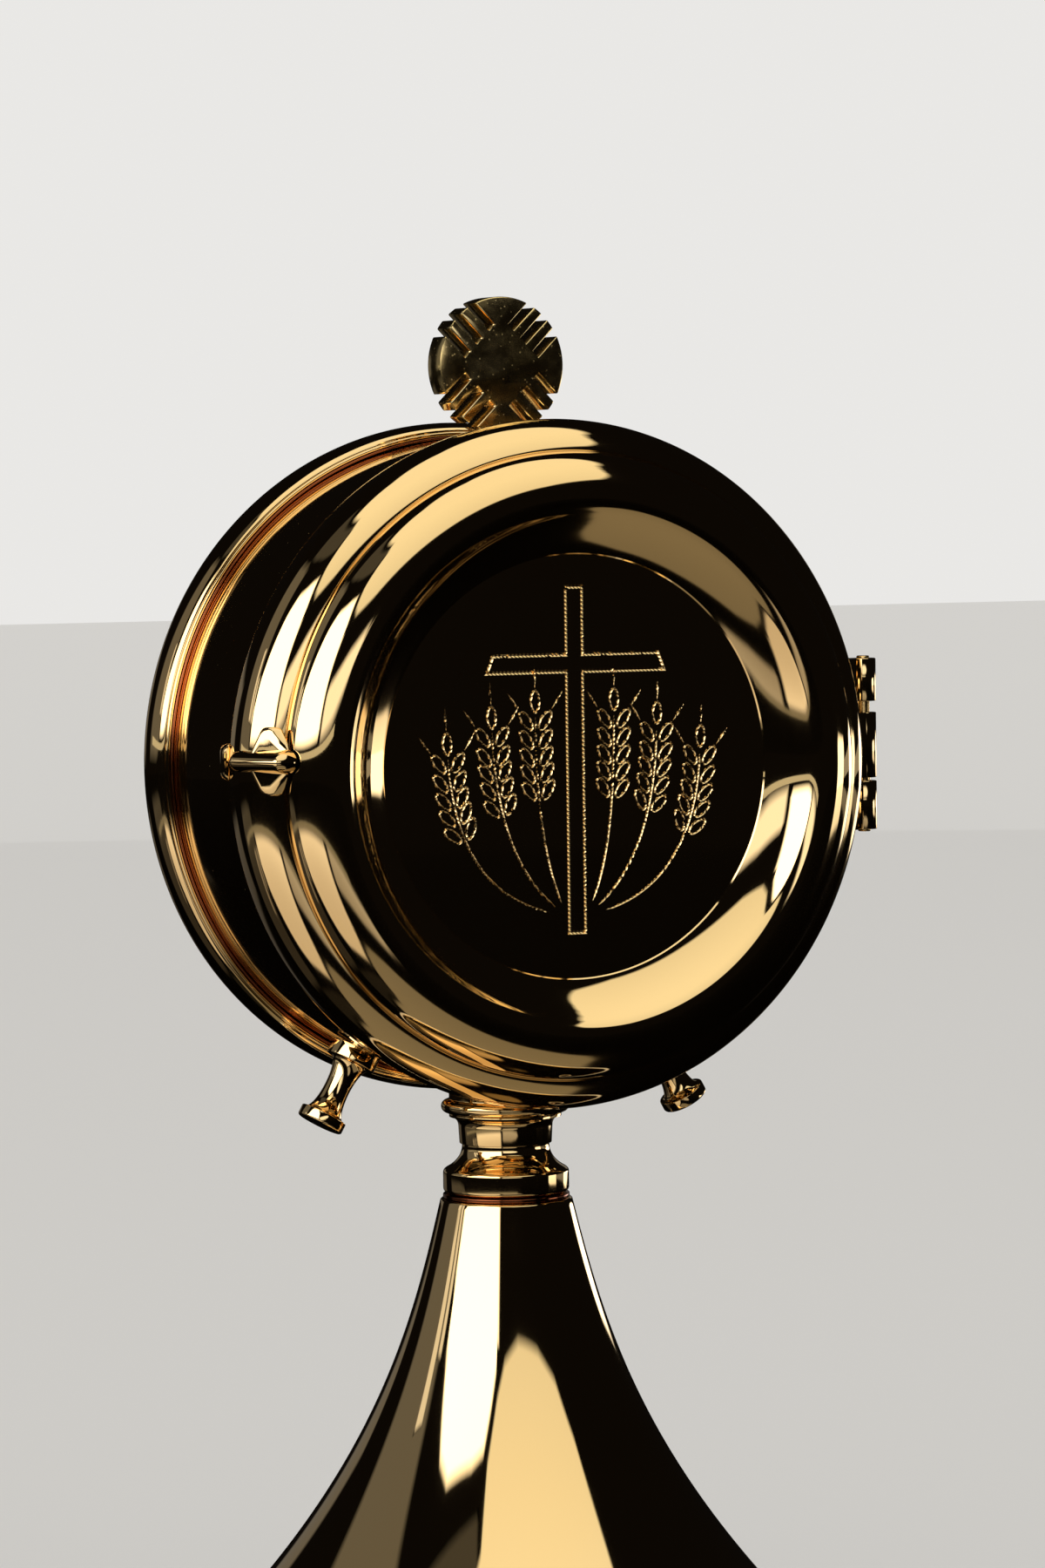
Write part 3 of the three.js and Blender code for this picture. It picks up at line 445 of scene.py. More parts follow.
def coverSection(size, rim):
    # The outside from the rim to the disc's edge, and the inside from the middle back to the shoulder
    outside, disc = coverLine(size, size["groove"], size["steps"])
    plain = coverLine(size, 0, size["steps"])[0]
    inside = inset([(size["edgeRadius"], size["edge"])] + plain + [disc], size["sheet"])
    floor = disc[1] - size["sheet"]
    inner = [(0, floor), (disc[0] - size["discInset"], floor)] + inside[::-1][1:-1]
    return eased(rim + outside, size["easingSteps"]) + [disc], inner


def makeBackCover():
    bead, beadRadius, edge = cover["backBead"], cover["backBeadRadius"], cover["edge"]
    rim = bend((beadRadius, edge), (bead, bead), *cover["backBeadSweep"], cover["backSteps"])
    # Behind the bead the rim swells out to the shoulder
    start = beadRadius + bead
    rim += bend((start, edge + cover["shoulderStart"]), (cover["radius"] - start, cover["shoulderStart"]),
                cover["backSwell"], 0, cover["backSteps"])[:-1]
    outside, inner = coverSection(cover, rim)
    lip = (beadRadius + cover["backInner"][0], edge + cover["backInner"][1])
    profile = outside + [(0, outside[-1][1])] + inner + [lip]
    piece = turned("backCover", profile, cover["facets"], backPlace, gilt)
    dress(piece, "case", "gilt", "back_cover")


def makeLidShell():
    edge, soft = cover["edge"], cover["lidRim"]
    rim = [(cover["edgeRadius"] - cover["sheet"], edge, soft), (cover["edgeRadius"], edge, soft)]
    outside, inner = coverSection(cover, rim)
    piece = turned("lidShell", inner + outside, cover["facets"], frontPlace, gilt, closed=False)
    engraved = engravedDisc(outside[-1])
    shape = bmesh.new()
    shape.from_mesh(piece.data)
    shape.from_mesh(engraved)
    shape.to_mesh(piece.data)
    shape.free()
    piece.data.materials.clear()
    for metal in (gilt, cutGilt):
        piece.data.materials.append(metal)
    tidy(piece, cover["lidSharp"])
    dress(piece, "lid", "gilt", "lid_shell")


# Engraving on the lid's disc: a plain outlined cross between ears of wheat, cut as real grooves.
# Places are (right, up) from the disc's middle
emblem = {
    "line": 0.42, "fineLine": 0.3, "depths": (0.12, 0.22), "step": 0.25, "taper": 4, "middle": -0.18, "mitre": 0.5,
    "stemPoints": 120, "stemStride": 6, "grainPoints": 24, "pairs": 5, "spacing": 2.1, "grain": (1.3, 0.55),
    "lean": 35, "offset": 1.28, "tip": 0.5, "awns": 3, "awnGap": 0.35, "awn": 3.2, "awnShare": 0.8,
    "cross": ((-1.24, 21.7), (0.94, 21.7), (0.94, 13.55), (11.16, 13.55), (11.98, 11.5), (0.94, 11.5),
              (0.94, -20.1), (-1.24, -20.1), (-1.24, 11.5), (-11.9, 11.5), (-11.07, 13.55), (-1.24, 13.55)),
    "stems": (((2.1, -16.4), (4.2, -11.6), (5.2, -5.4), (5.3, 6.2)),
              ((2.9, -16.9), (7.0, -13.6), (10.7, -7.8), (11.1, 4.4)),
              ((3.8, -17.5), (10.9, -15.8), (16.4, -10.4), (17, 1.4)))}


def spaced(points, closed):
    # Points at even steps along straight pieces
    line = []
    ends = list(points) + ([points[0]] if closed else [])
    for start, end in zip(ends, ends[1:]):
        start, end = Vector(start), Vector(end)
        count = max(1, round((end - start).length / emblem["step"]))
        line += [start.lerp(end, i / count) for i in range(count)]
    return line if closed else line + [Vector(ends[-1])]


def wheatEar(corners, side):
    # One ear's paths: its stem, pairs of grains that lean outwards, a last grain on top, and thin awns
    last = emblem["stemPoints"]
    line = [curvePoint(corners, i / last) for i in range(last + 1)]
    long, wide = emblem["grain"]
    paths = [(spaced(line[::emblem["stemStride"]], False), False)]
    seats, walked = [], 0
    for i in range(last, 0, -1):
        if walked >= emblem["spacing"] * len(seats) and len(seats) < emblem["pairs"]:
            seats.append((line[i], (line[i] - line[i - 1]).normalized()))
        walked += (line[i] - line[i - 1]).length
    tip, along = line[-1], (line[-1] - line[-2]).normalized()
    grains = [(tip + along * (emblem["tip"] + long), along)]
    for place, direction in seats:
        across = Vector((direction.y, -direction.x))
        for hand in (1, -1):
            lean = math.radians(emblem["lean"]) * hand
            axis = direction * math.cos(lean) + across * math.sin(lean)
            grains.append((place + across * hand * emblem["offset"] - direction * emblem["tip"], axis))
    for middle, axis in grains:
        across = Vector((axis.y, -axis.x))
        turns = [math.tau * i / emblem["grainPoints"] for i in range(emblem["grainPoints"])]
        paths.append(([middle + axis * long * math.cos(a) + across * wide * math.sin(a) for a in turns], True))
    for middle, axis in grains[:emblem["awns"]]:
        start = middle + axis * (long + emblem["awnGap"])
        end = start + axis * emblem["awn"] * emblem["awnShare"]
        paths.append((spaced([start, end], False), False))
    middle = emblem["middle"]
    return [([Vector((middle + side * point.x, point.y)) for point in path], closed) for path, closed in paths]


def engravedDisc(edge):
    # The disc as a mesh, with a V-shaped groove along each path
    radius, height = edge
    facets = cover["facets"]
    places = [Vector((radius * math.cos(math.tau * i / facets), radius * math.sin(math.tau * i / facets)))
              for i in range(facets)]
    edges = [(i, (i + 1) % facets) for i in range(facets)]
    depths = [0.0] * facets

    def groove(path, closed, width):
        rows, count = [], len(path)
        for i, point in enumerate(path):
            before = path[i - 1] if closed or i else path[0]
            after = path[(i + 1) % count] if closed or i < count - 1 else path[-1]
            into = (point - before).normalized() if (point - before).length else (after - point).normalized()
            out = (after - point).normalized() if (after - point).length else into
            normal = Vector((-(into.y + out.y), into.x + out.x)).normalized()
            reach = width / 2 / max(normal.dot(Vector((-into.y, into.x))), emblem["mitre"])
            share = 1 if closed else min(1, i / emblem["taper"], (count - 1 - i) / emblem["taper"])
            row = [len(places)]
            places.append(point)
            depths.append(emblem["depths"][i % 2] * share * width / emblem["line"])
            if share:
                for hand in (1, -1):
                    row.append(len(places))
                    places.append(point + normal * reach * share * hand)
                    depths.append(0.0)
            rows.append(row)
        for i in range(count if closed else count - 1):
            here, there = rows[i], rows[(i + 1) % count]
            for j in range(max(len(here), len(there))):
                edges.append((here[min(j, len(here) - 1)], there[min(j, len(there) - 1)]))

    groove(spaced(emblem["cross"], True), True, emblem["line"])
    for corners in emblem["stems"]:
        for side in (1, -1):
            for path, closed in wheatEar(corners, side):
                groove(path, closed, emblem["fineLine"])
    result = delaunay_2d_cdt(places, edges, [], 0, 1e-5)
    flat, faces, origins = result[0], result[2], result[3]
    deep = [max((depths[i] for i in origin), default=0) for origin in origins]
    points = [(point.x * mm, point.y * mm, (height - depth) * mm) for point, depth in zip(flat, deep)]
    mesh = plainMesh("engravedDisc", points, faces)
    for face, corners in zip(mesh.polygons, faces):
        face.material_index = int(any(deep[i] > 0 for i in corners))
    mesh.transform(frontPlace)
    return mesh


makeBackCover()
makeLidShell()
print("stage: covers made")


# Drum and its rings

drum = {"radius": 40, "sheet": 1, "half": 14.2, "facets": 320, "easing": 0.15, "holeFacets": 32, "holeDepth": 3,
        "holes": ((2.3, 0), (1.5, 30), (1.5, -30), (1.3, 180))}


def makeDrumWall():
    outer, half, soft, deep = drum["radius"], drum["half"], drum["easing"], drum["holeDepth"]
    inner = outer - drum["sheet"]
    profile = eased([(inner, -half, soft), (outer, -half, soft), (outer, half, soft), (inner, half, soft)])
    piece = turned("drumWall", profile, drum["facets"], frontPlace, drumGilt)
    for radius, angle in drum["holes"]:
        cut(piece, rod("hole", radius, outer - deep, outer + deep, drum["holeFacets"], placeSpoke(angle), gilt))
    dress(piece, "case", "gilt", "drum_wall")


rings = {
    "mouth": [(37.8, 10, 0.1), (38.7, 10, 0.1), (38.7, 14.2, 0.15), (37, 14.2, 0.2), (37, 13.3, 0.2),
              (37.8, 13.3, 0.1)],
    "rim": [(40.3, 11.15, 0.08), (40.8, 11.15, 0.08), (40.8, 13.15, 0.08), (40.3, 13.15, 0.08)],
    "wire": bend((40.17, 10.78), (0.15, 0.15), -90, 250, 24), "easingSteps": 2}


def makeDrumRings():
    # Each part: node, body, slot, metal, place, corners
    parts = {
        "mouthRing": ("mouth_ring", "case", "gilt", gilt, frontPlace, rings["mouth"]),
        "backRimRing": ("back_rim_ring", "case", "gilt", gilt, backPlace, rings["rim"]),
        "lidRimRing": ("lid_rim_ring", "lid", "gilt", gilt, frontPlace, rings["rim"]),
        "backLipWire": ("back_lip_wire", "case", "copper", copper, backPlace, rings["wire"]),
    }
    for name, (node, body, slot, metal, place, corners) in parts.items():
        piece = turned(name, eased(corners, rings["easingSteps"]), drum["facets"], place, metal)
        dress(piece, body, slot, node)


makeDrumWall()
makeDrumRings()
print("stage: drum made")


# Foot and stem

foot = {"height": 70, "topRadius": 8.2, "neck": (12.3, 53), "bell": (17.4, 31.7), "flare": (49.6, 3.8),
        "flange": 1.8, "rimRound": 1.1, "rimSteps": 16, "heelEasing": 0.2, "sheet": 1.2, "insideLow": 1,
        "insideLedge": 0.3, "hole": 2.3, "holeEasing": 0.1, "topEasing": 0.35, "steps": 64, "facets": 320}


def makeFoot():
    corners = [(foot["topRadius"], foot["height"]), foot["neck"], foot["bell"], foot["flare"]]
    outside = [tuple(curvePoint(corners, i / foot["steps"])) for i in range(foot["steps"] + 1)]
    under = foot["height"] - foot["sheet"]
    inside = [(r, h) for r, h in inset(outside, -foot["sheet"]) if foot["insideLow"] < h < under]
    flareRadius, flareHeight = foot["flare"]
    rim = bend((flareRadius + foot["flange"], flareHeight / 2), (foot["rimRound"], flareHeight / 2), 90, -90,
               foot["rimSteps"])
    top = [(foot["hole"], foot["height"], foot["holeEasing"]), (*outside[0], foot["topEasing"])]
    heel = [(flareRadius - foot["sheet"], 0, foot["heelEasing"])]
    ledge = [(inside[0][0] - foot["insideLedge"], under), (foot["hole"], under, foot["holeEasing"])]
    profile = eased(top + outside[1:] + rim + heel + inside[::-1] + ledge)
    piece = turned("trumpetFoot", profile, foot["facets"], placeUp(), gilt)
    dress(piece, "case", "gilt", "trumpet_foot")


stem = {
    "base": [(43.7, 0, 0.2), (48.1, 0, 0.2), (48.1, 2, 0.2), (43.7, 2, 0.2)],
    "washer": [(2.3, 0, 0.1), (7.9, 0, 0.15), (7.9, 0.5, 0.15), (2.3, 0.5, 0.1)],
    "collar": ([(2.3, 0, 0.1)] + bend((7.25, 0.6), (0.6, 0.6), -90, 0, 8) + bend((7.25, 2.5), (0.6, 0.6), 0, 55, 6)
               + bend((10.15, 5.9), (4.7, 3.418), -125, -180, 24) + [(5.45, 6.15, 0.05), (5.75, 6.15, 0.08)]
               + bend((7, 8.3), (1.13, 1.2), 180, 90, 14) + [(7, 9.9, 0.12), (2.3, 9.9, 0.1)]),
    "saddle": ([(2.3, 0, 0.1)] + bend((7.2, 0.8), (0.8, 0.8), -90, 90, 12)
               + [(7, 1.7, 0.1), (7, 11.8), (2.3, 11.8)]),
    "seatRadius": 40.3, "seatReach": 12, "seatFacets": 400, "easingSteps": 3}


def makeStem():
    # Each part: node, slot, metal, height, facets, corners
    parts = {
        "footBaseRing": ("foot_base_ring", "gilt_satin", satinGilt, 0, 200, stem["base"]),
        "stepWasher": ("step_washer", "copper", copper, 70.1, 128, stem["washer"]),
        "stemCollar": ("stem_collar", "gilt", gilt, 70.7, 200, stem["collar"]),
        "drumSaddle": ("drum_saddle", "gilt", gilt, 80.7, 160, stem["saddle"]),
    }
    for name, (node, slot, metal, height, facets, corners) in parts.items():
        piece = turned(name, eased(corners, stem["easingSteps"]), facets, placeUp(height), metal)
        if name == "drumSaddle":
            reach = stem["seatReach"]
            cut(piece, rod("seat", stem["seatRadius"], -reach, reach, stem["seatFacets"], seatPlace, gilt))
        dress(piece, "case", slot, node)


makeFoot()
makeStem()
print("stage: foot and stem made")


# Pegs and cradle

peg = {"angle": 30, "length": 10.4, "base": 40.3, "baseRadius": 3.15, "baseLength": 1.9, "shoulder": 2.6,
       "waist": 1.6, "endRadius": 2.95, "endLength": 1.4, "tenon": 1.2, "tenonHead": (2, 0.6), "easing": 0.14,
       "headSteps": 8, "waistSteps": 36, "facets": 96}


def makePegs():
    headSeat = peg["headSeat"]
    base, end = peg["base"], peg["base"] + peg["length"]
    start, stop = base + peg["baseLength"], end - peg["endLength"]
    soft = peg["easing"]
    profile = bend((0, headSeat), peg["tenonHead"], -90, 0, peg["headSteps"])
    profile += [(peg["tenon"], headSeat), (peg["tenon"], base), (peg["baseRadius"], base, soft),
                (peg["baseRadius"], start, soft)]
    profile += bend((peg["shoulder"], (start + stop) / 2), (peg["shoulder"] - peg["waist"], (stop - start) / 2),
                    270, 90, peg["waistSteps"])
    profile += [(peg["endRadius"], stop, soft), (peg["endRadius"], end, soft * 2), (0, end)]
    for name, node, side in (("pegLeft", "peg_left", 1), ("pegRight", "peg_right", -1)):
        piece = turned(name, eased(profile), peg["facets"], placeSpoke(side * peg["angle"]), gilt)
        dress(piece, "case", "gilt", node)


def flatSeat(radius, headRadius, facets=48, gap=0.1):
    # Where a flat head lies when its edge rests inside the round sheet
    return math.sqrt((radius * math.cos(math.pi / facets)) ** 2 - headRadius ** 2) - gap


cradle = {"sheet": 0.8, "lip": 2.4, "boltRoom": 0.7, "halfAngle": 52, "boltHead": (3.5, 1.4), "seatGap": 0.3,
          "facets": 240, "easing": 0.2, "wedgeReach": 42, "wedgeDepth": 12, "holeRadius": 1.5,
          "holeSpan": (30, 42), "holeFacets": 32}
drumInner = drum["radius"] - drum["sheet"]
floorOuter = flatSeat(drumInner, cradle["boltHead"][0]) - cradle["boltHead"][1] - cradle["seatGap"]
floorInner = floorOuter - cradle["sheet"]
peg["headSeat"] = flatSeat(floorInner, peg["tenonHead"][0])


def makeCradle():
    inner = cradle["boltHead"][0] + cradle["boltRoom"]
    outer = inner + cradle["sheet"]
    low, lip, soft = drumInner - cradle["seatGap"], floorInner - cradle["lip"], cradle["easing"]
    softer = soft / 2
    section = [(lip, -outer, soft), (low, -outer, softer), (low, -inner, softer), (floorOuter, -inner, softer),
               (floorOuter, inner, softer), (low, inner, softer), (low, outer, softer), (lip, outer, soft),
               (lip, inner, soft), (floorInner, inner, soft), (floorInner, -inner, soft), (lip, -inner, soft)]
    piece = turned("lunaCradle", eased(section), cradle["facets"], seatPlace, satinGilt)
    down = cradle["wedgeReach"]
    reach = down * math.tan(math.radians(cradle["halfAngle"]))
    wedge = extruded("wedge", [(0, 0), (-reach, -down), (reach, -down)], cradle["wedgeDepth"], satinGilt)
    cut(piece, wedge, "INTERSECT")
    for side in (1, -1):
        cut(piece, rod("hole", cradle["holeRadius"], *cradle["holeSpan"], cradle["holeFacets"],
                       placeSpoke(side * peg["angle"]), satinGilt))
    dress(piece, "case", "gilt_satin", "luna_cradle")


makePegs()
makeCradle()
print("stage: pegs and cradle made")


# Finial

finial = {"radius": 8.45, "thickness": 3.7, "standoff": 0.45, "notchWidth": 1, "spacing": 2.35, "inner": 4.25,
          "groups": 4, "easing": 0.18, "arcStep": 2.5}


def notchedOutline(size):
    # A round outline with three parallel notches on each diagonal
    radius, half, inner = size["radius"], size["notchWidth"] / 2, size["inner"]
    points = []
    groupTurn = math.tau / size["groups"]
    rows = (-size["spacing"], 0, size["spacing"])
    for group in range(size["groups"]):
        turn = (group + 0.5) * groupTurn
        for i, middle in enumerate(rows):
            near, far = middle - half, middle + half
            for u, v in ((math.sqrt(radius ** 2 - near ** 2), near), (inner, near), (inner, far),
                         (math.sqrt(radius ** 2 - far ** 2), far)):
                points.append((u * math.cos(turn) - v * math.sin(turn), u * math.sin(turn) + v * math.cos(turn)))
            start = turn + math.asin(far / radius)
            if i < len(rows) - 1:
                stop = turn + math.asin((rows[i + 1] - half) / radius)
            else:
                stop = turn + groupTurn + math.asin((rows[0] - half) / radius)
            steps = max(2, round(math.degrees(stop - start) / size["arcStep"]))
            for j in range(1, steps):
                angle = start + (stop - start) * j / steps
                points.append((radius * math.cos(angle), radius * math.sin(angle)))
    return points


def makeFinial():
    height = holder["caseHeight"] + drum["radius"] + finial["standoff"] + finial["radius"]
    piece = extruded("finialDisc", notchedOutline(finial), finial["thickness"], finialGilt, (0, 0, height),
                     finial["easing"])
    dress(piece, "case", "gilt_satin", "finial_disc")


makeFinial()
print("stage: finial made")


# Hinge, thumb tab and catch lug

hinge = {"x": 44.8, "rise": 1.1, "knuckle": 1.6, "bore": 0.9, "bottom": 6.1, "middle": 8.2, "top": 5.4, "gap": 0.4,
         "pinShow": 1.4, "pin": 0.8, "pinProud": 0.3, "pinEasing": 0.15, "leaf": 1.2, "tongueLap": 0.5,
         "barrelEasing": 0.12, "boreProud": 2, "seatGap": 0.3, "fitGap": 0.15, "facets": 48, "axisY": -11,
         "seatReach": 30, "seatFacets": 400}


def makeHinge():
    stack = ("bottom", "middle", "top", "gap", "pinShow")
    low = hinge["rise"] - sum(hinge[part] for part in stack) / 2
    middleLow = low + hinge["bottom"] + hinge["gap"]
    topLow = middleLow + hinge["middle"] + hinge["pinShow"]
    high = topLow + hinge["top"]
    axisY, radius = hinge["axisY"], hinge["knuckle"]

    def ring(size):
        return bend((hinge["x"], axisY), (size, size), 0, 360 * (1 - 1 / hinge["facets"]), hinge["facets"] - 1)

    def leaf(name, side, seat, spans):
        near = axisY + side * hinge["seatGap"]
        far = near + side * hinge["leaf"]
        start = seat - radius * 2
        clear = hinge["x"] - radius - hinge["fitGap"]
        lap = clear - hinge["tongueLap"]
        piece = standing(name, [(start, near), (clear, near), (clear, far), (start, far)], low, high, gilt)
        for bottom, top in spans:
            tongue = [(lap, near), (hinge["x"], near), (hinge["x"], far), (lap, far)]
            cut(piece, standing("tongue", tongue, bottom, top, gilt), "UNION")
            cut(piece, standing("barrel", ring(radius), bottom, top, gilt, hinge["barrelEasing"]), "UNION")
        proud, reach = hinge["boreProud"], hinge["seatReach"]
        cut(piece, standing("bore", ring(hinge["bore"]), low - proud, high + proud, gilt))
        cut(piece, rod("seat", seat, -reach, reach, hinge["seatFacets"], frontPlace, gilt))
        return piece

    caseLeaf = leaf("caseHingeLeaf", 1, drum["radius"] + hinge["seatGap"],
                    [(low, low + hinge["bottom"]), (topLow, high)])
    dress(caseLeaf, "case", "gilt", "case_hinge_leaf")
    lidLeaf = leaf("lidHingeLeaf", -1, cover["radius"] + hinge["fitGap"],
                   [(middleLow, middleLow + hinge["middle"])])
    dress(lidLeaf, "lid", "gilt", "lid_hinge_leaf")
    bottom, top, soft = low - hinge["pinProud"], high + hinge["pinProud"], hinge["pinEasing"]
    pin = eased([(0, bottom), (hinge["pin"], bottom, soft), (hinge["pin"], top, soft), (0, top)])
    place = Matrix.Translation(Vector((hinge["x"], axisY - holder["drumForward"], holder["caseHeight"])) * mm)
    dress(turned("hingePin", pin, hinge["facets"], place, satinGilt), "case", "gilt_satin", "hinge_pin")


tab = {"length": 9.3, "width": 3, "depth": 6.4, "tilt": 27, "inset": 2.8, "forward": 6.25, "rise": 1.8,
       "clearance": 0.3, "facets": 64, "bossHalf": 4.1, "bossRidge": 0.9, "bossEdge": 0.55, "bossSpan": (28, 86),
       "bossTopSpan": (49, 74), "bossFrontRise": 1.4, "bossDepth": 2.5, "easing": 0.5, "easingSegments": 6,
       "endSteps": 14, "massSteps": 12}


def tabBoss():
    # The low lozenge under the bar, as the hull of points on and in the lid's shoulder
    def onShoulder(angle, proud, height):
        reach = cover["shoulderRadius"] + proud
        turn = math.radians(angle)
        radius = cover["radius"] - cover["shoulderRadius"] + reach * math.cos(turn)
        depth = cover["edge"] + cover["shoulderStart"] + reach * math.sin(turn) + holder["drumForward"]
        return Vector((-radius, -depth, height + tab["rise"] + holder["caseHeight"])) * mm

    rear, front = tab["bossSpan"]
    topRear, topFront = tab["bossTopSpan"]
    shape = bmesh.new()
    for deep in (0, tab["bossDepth"]):
        ridge, edge = tab["bossRidge"] - deep, tab["bossEdge"] - deep
        places = [(rear, ridge, 0), ((topRear + topFront) / 2, ridge, 0), (front, ridge + tab["bossFrontRise"], 0)]
        places += [(angle, edge, side * tab["bossHalf"]) for side in (1, -1) for angle in (topRear, topFront)]
        for place in places:
            shape.verts.new(onShoulder(*place))
    hull = bmesh.ops.convex_hull(shape, input=shape.verts)
    spare = {item for key in ("geom_interior", "geom_unused") for item in hull[key]
             if isinstance(item, bmesh.types.BMVert)}
    bmesh.ops.delete(shape, geom=list(spare), context="VERTS")
    bmesh.ops.recalc_face_normals(shape, faces=shape.faces)
    bmesh.ops.bevel(shape, geom=shape.edges[:], offset=tab["easing"] * mm, segments=tab["easingSegments"],
                    profile=0.5, affect="EDGES", clamp_overlap=True)
    return fromShape("tabBoss", shape, gilt)


def makeThumbTab():
    half, radius, steps = tab["length"] / 2, tab["width"] / 2, tab["endSteps"]
    bar = []
    for side, start in ((-1, -90), (1, 0)):
        bar += bend((0, side * (half - radius)), (radius, radius), start, start + 90, steps)
    middle = Vector((tab["inset"] - cover["radius"], -cover["edge"] - tab["forward"] - holder["drumForward"],
                     holder["caseHeight"] + tab["rise"])) * mm
    place = (Matrix.Translation(middle) @ Matrix.Rotation(math.radians(tab["tilt"]), 4, "Z")
             @ Matrix.Diagonal((tab["depth"] / tab["width"], 1, 1, 1)) @ Matrix.Rotation(math.radians(90), 4, "X"))
    piece = turned("thumbTab", bar, tab["facets"], place, gilt)
    cut(piece, tabBoss(), "UNION")
    line, disc = coverLine(cover, 0, tab["massSteps"])
    line = [(cover["edgeRadius"], cover["edge"])] + line + [disc]
    mass = inset(line, -tab["clearance"]) + [(0, disc[1]), (0, 0), (cover["edgeRadius"], 0)]
    cut(piece, turned("lidMass", mass, cover["facets"], frontPlace, gilt))
    dress(piece, "lid", "gilt", "thumb_tab")


lug = {"rise": 1.5, "height": 4.6, "thickness": 1.4, "reach": 2, "corner": 1.2, "cornerSteps": 10, "gap": 0.3,
       "easing": 0.2}


def makeCatchLug():
    inner = drum["radius"] + lug["gap"]
    outer, half = inner + lug["reach"], lug["height"] / 2
    corner, steps = lug["corner"], lug["cornerSteps"]
    outline = [(-inner, -half), (-inner, half)]
    for side, start in ((1, 90), (-1, 180)):
        outline += bend((corner - outer, side * (half - corner)), (corner, corner), start, start + 90, steps)
    middleY = -cover["edge"] + lug["gap"] + lug["thickness"] / 2 - holder["drumForward"]
    piece = extruded("catchLug", outline, lug["thickness"], gilt, (0, middleY, holder["caseHeight"] + lug["rise"]),
                     lug["easing"])
    dress(piece, "case", "gilt", "catch_lug")


makeHinge()
makeThumbTab()
makeCatchLug()
print("stage: hinge, tab and lug made")


# Plain fasteners keep their solids and get a finish

def finishNodes():
    finishes = {"case_bolt": steel, "clamp_washer": steel, "clamp_nut": steel, "finial_stud": gilt}
    for node, metal in finishes.items():
        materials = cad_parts[node].data.materials
        materials.clear()
        materials.append(metal)


finishNodes()


# Stage: a pale floor and room for the camera, a dark room with lit cards for the metal

studio = {"floorColour": (0.78, 0.77, 0.75, 1), "floorRoughness": 0.9, "floorSize": 12,
          "worldColour": (0.86, 0.85, 0.83, 1), "worldStrength": 0.95}


def makeStage():
    material, tree = newMaterial("paleFloor")
    surface(tree, "ShaderNodeBsdfPrincipled", {
        "Base Color": studio["floorColour"], "Roughness": studio["floorRoughness"]})
    half = studio["floorSize"] / 2
    corners = [(-half, -half, 0), (half, -half, 0), (half, half, 0), (-half, half, 0)]
    mesh = plainMesh("floor", corners, [(0, 1, 2, 3)])
    meshObject("floor", mesh, material)
    world = bpy.data.worlds.new("paleRoom")
    scene.world = world
    world.use_nodes = True
    background = world.node_tree.nodes["Background"]
    background.inputs["Color"].default_value = studio["worldColour"]
    background.inputs["Strength"].default_value = studio["worldStrength"]


cardGrid = {"rows": 10, "finer": 5, "fadeStart": 0.4}


def cardColumns(columns, soft):
    # Finer columns between those given, with one just inside the soft edge on either side
    dense, finer = [], cardGrid["finer"]
    for start, end in zip(columns, columns[1:]):
        dense += [[a + (b - a) * j / finer for a, b in zip(start, end)] for j in range(finer)]
    dense.append(columns[-1])
    if soft:
        first, last = dense[0], dense[-1]
        left, right = first[0] + soft, last[0] - soft
        between = [column for column in dense if left < column[0] < right]
        dense = [first, (left, *first[1:])] + between + [(right, *last[1:]), last]
    return dense


def cardRows(bottom, top, soft):
    # Elevations up one column, with one just inside the soft edge at either end
    rows = cardGrid["rows"]
    steps = [bottom + (top - bottom) * j / rows for j in range(rows + 1)]
    if soft:
        middle = (bottom + top) / 2
        steps[1] = min(bottom + soft, middle)
        if top < 90:
            steps[-2] = max(top - soft, middle)
        steps[2:-2] = [steps[1] + (steps[-2] - steps[1]) * j / (rows - 2) for j in range(1, rows - 2)]
    return steps


def makeCard(name, colour, strength, columns, distance, soft):
    # A lit card round the object: the metal shows it, the camera doesn't. Its columns are (azimuth, lowest
    # elevation, highest elevation) from the case, and its light fades over its soft edge
    material, tree = newMaterial(name)
    low, high = strength if isinstance(strength, tuple) else (strength, strength)
    place = addNode(tree, "ShaderNodeTexCoord").outputs["Object"]
    height = addNode(tree, "ShaderNodeSeparateXYZ", {0: place}).outputs["Z"]
    fade = addNode(tree, "ShaderNodeMapRange", {
        "Value": height, "From Min": cardGrid["fadeStart"] * distance, "From Max": distance,
        "To Min": low, "To Max": high}).outputs[0]
    glow = addNode(tree, "ShaderNodeAttribute", attribute_name="glow").outputs["Fac"]
    surface(tree, "ShaderNodeEmission", {"Color": (*colour, 1), "Strength": calc(tree, "MULTIPLY", fade, glow)})
    rows, wraps = cardGrid["rows"], columns[-1][0] - columns[0][0] == 360
    dense = cardColumns(columns, 0 if wraps else soft)
    points, glows, faces = [], [], []
    for i, (azimuth, bottom, top) in enumerate(dense):
        side = not wraps and i in (0, len(dense) - 1)
        for j, elevation in enumerate(cardRows(bottom, top, soft)):
            a, e = math.radians(azimuth), math.radians(elevation)
            towards = Vector((math.sin(a) * math.cos(e), -math.cos(a) * math.cos(e), math.sin(e)))
            points.append(caseMiddle + distance * towards)
            glows.append(0.0 if soft and (side or j == 0 or (j == rows and top < 90)) else 1.0)
    for i in range(len(dense) - 1):
        for j in range(rows):
            k = i * (rows + 1) + j
            faces.append((k, k + rows + 1, k + rows + 2, k + 1))
    mesh = plainMesh(name, points, faces)
    mesh.attributes.new("glow", "FLOAT", "POINT").data.foreach_set("value", glows)
    hideFromCamera(meshObject(name, mesh, material))


def hideFromCamera(card):
    card.visible_camera = card.visible_diffuse = card.visible_shadow = False


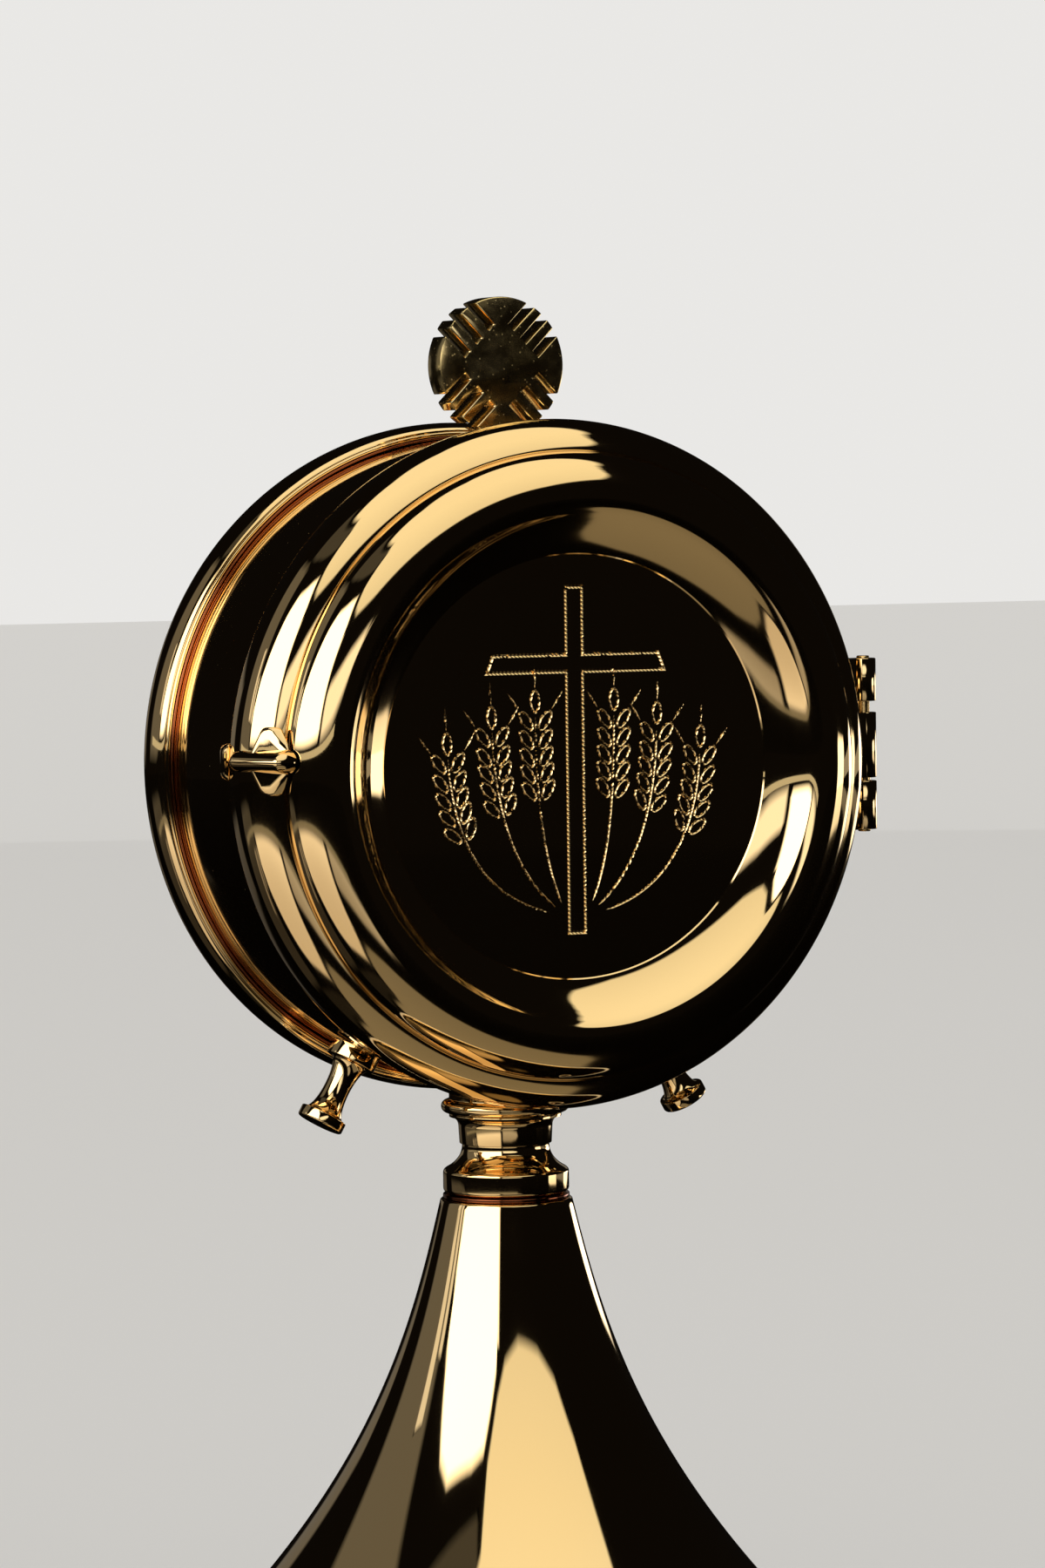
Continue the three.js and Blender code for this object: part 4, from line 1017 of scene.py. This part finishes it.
darkTable = {"colour": (0.21, 0.19, 0.165, 1), "roughness": 0.08, "steps": 96, "near": 54.5, "far": 1900,
             "height": 2}


def makeDarkTable():
    # A dark polished sheet just over the floor, which the metal shows in place of it
    material, tree = newMaterial("darkTable")
    surface(tree, "ShaderNodeBsdfPrincipled", {
        "Base Color": darkTable["colour"], "Metallic": 1.0, "Roughness": darkTable["roughness"]})
    steps, reaches = darkTable["steps"], (darkTable["near"] * mm, darkTable["far"] * mm)
    points, faces = [], []
    for i in range(steps):
        a = math.tau * i / steps
        points += [(reach * math.cos(a), reach * math.sin(a), darkTable["height"] * mm) for reach in reaches]
        k, n = 2 * i, 2 * ((i + 1) % steps)
        faces.append((k, k + 1, n + 1, n))
    hideFromCamera(meshObject("darkTable", plainMesh("darkTable", points, faces), material))


def makeCards():
    # Each card: colour, strength, columns, distance in metres, soft edge in degrees
    white, warm = (1, 0.985, 0.95), (1, 0.985, 0.86)
    cards = {
        "darkRoom": ((0.0035, 0.0030, 0.0026), 1, [(a, -90, 90) for a in range(-180, 181, 30)], 1.8, 0),
        "warmSoftbox": (warm, (0.80, 1.0), [
            (-180, 76, 90), (-120, 74, 90), (-90, 64, 90), (-60, 61, 90), (-50, 55, 90), (-46, 43, 90),
            (-38, 34, 90), (-30, 29, 90), (-14, 26, 90), (8, 26, 90), (24, 28, 90), (35, 34, 90),
            (42, 41, 90), (49, 48, 90), (56, 53, 90), (66, 57, 90), (90, 60, 90), (140, 66, 90),
            (180, 76, 90)], 1.3, 2),
        "whiteSoftbox": (white, 2.8, [
            (-104, 4, 16), (-97, 4, 24), (-88, 4, 38), (-80, 4, 43), (-60, 4, 44), (-50, 4, 43),
            (-44, 4, 37), (-36, 4, 28)], 1.2, 3),
        "lowSoftbox": (white, 1.2, [(-34, 3, 16), (-12, 3, 16), (0, 4, 14), (6, 6, 11)], 1.25, 3),
        "leftWall": (white, 0.13, [(-146, -2, 40), (-120, -2, 48), (-106, 0, 48)], 1.5, 3),
        "backWall": (white, 0.13, [(-192, -3, 10), (-166, -3, 8)], 1.5, 2),
        "leftPane": (white, 0.8, [(-118, 9, 26), (-111, 9, 27)], 1.4, 1),
        "leftPaneToo": (white, 0.8, [(-110, 9, 20), (-105, 9, 21)], 1.4, 1),
        "leftDome": (white, 0.06, [(-120, 48, 66), (-90, 51, 63), (-52, 50, 60)], 1.5, 2),
        "horizonLine": (warm, 0.55, [(-138, 1.6, 3.2), (-60, 1.6, 3.4), (-5, 1.6, 3)], 1.1, 0),
        "rimStrip": (white, 3.0, [(104, -4, 0), (116, -7, 1), (124, -7, -1), (131, -7, -4)], 1.3, 1),
        "sideStrip": (white, 2.0, [(58, -6, -1), (63, -8, 0), (79, -8, 0)], 1.3, 1),
        "thinStrip": (white, 0.3, [(78, -5, -3), (104, -4, -1)], 1.3, 0),
        "rimGlow": (white, 0.16, [(134, 1, 12), (153, 1, 12)], 1.35, 2),
    }
    for name, look in cards.items():
        makeCard(name, *look)


makeStage()
makeDarkTable()
makeCards()
print("stage: floor, room and cards made")
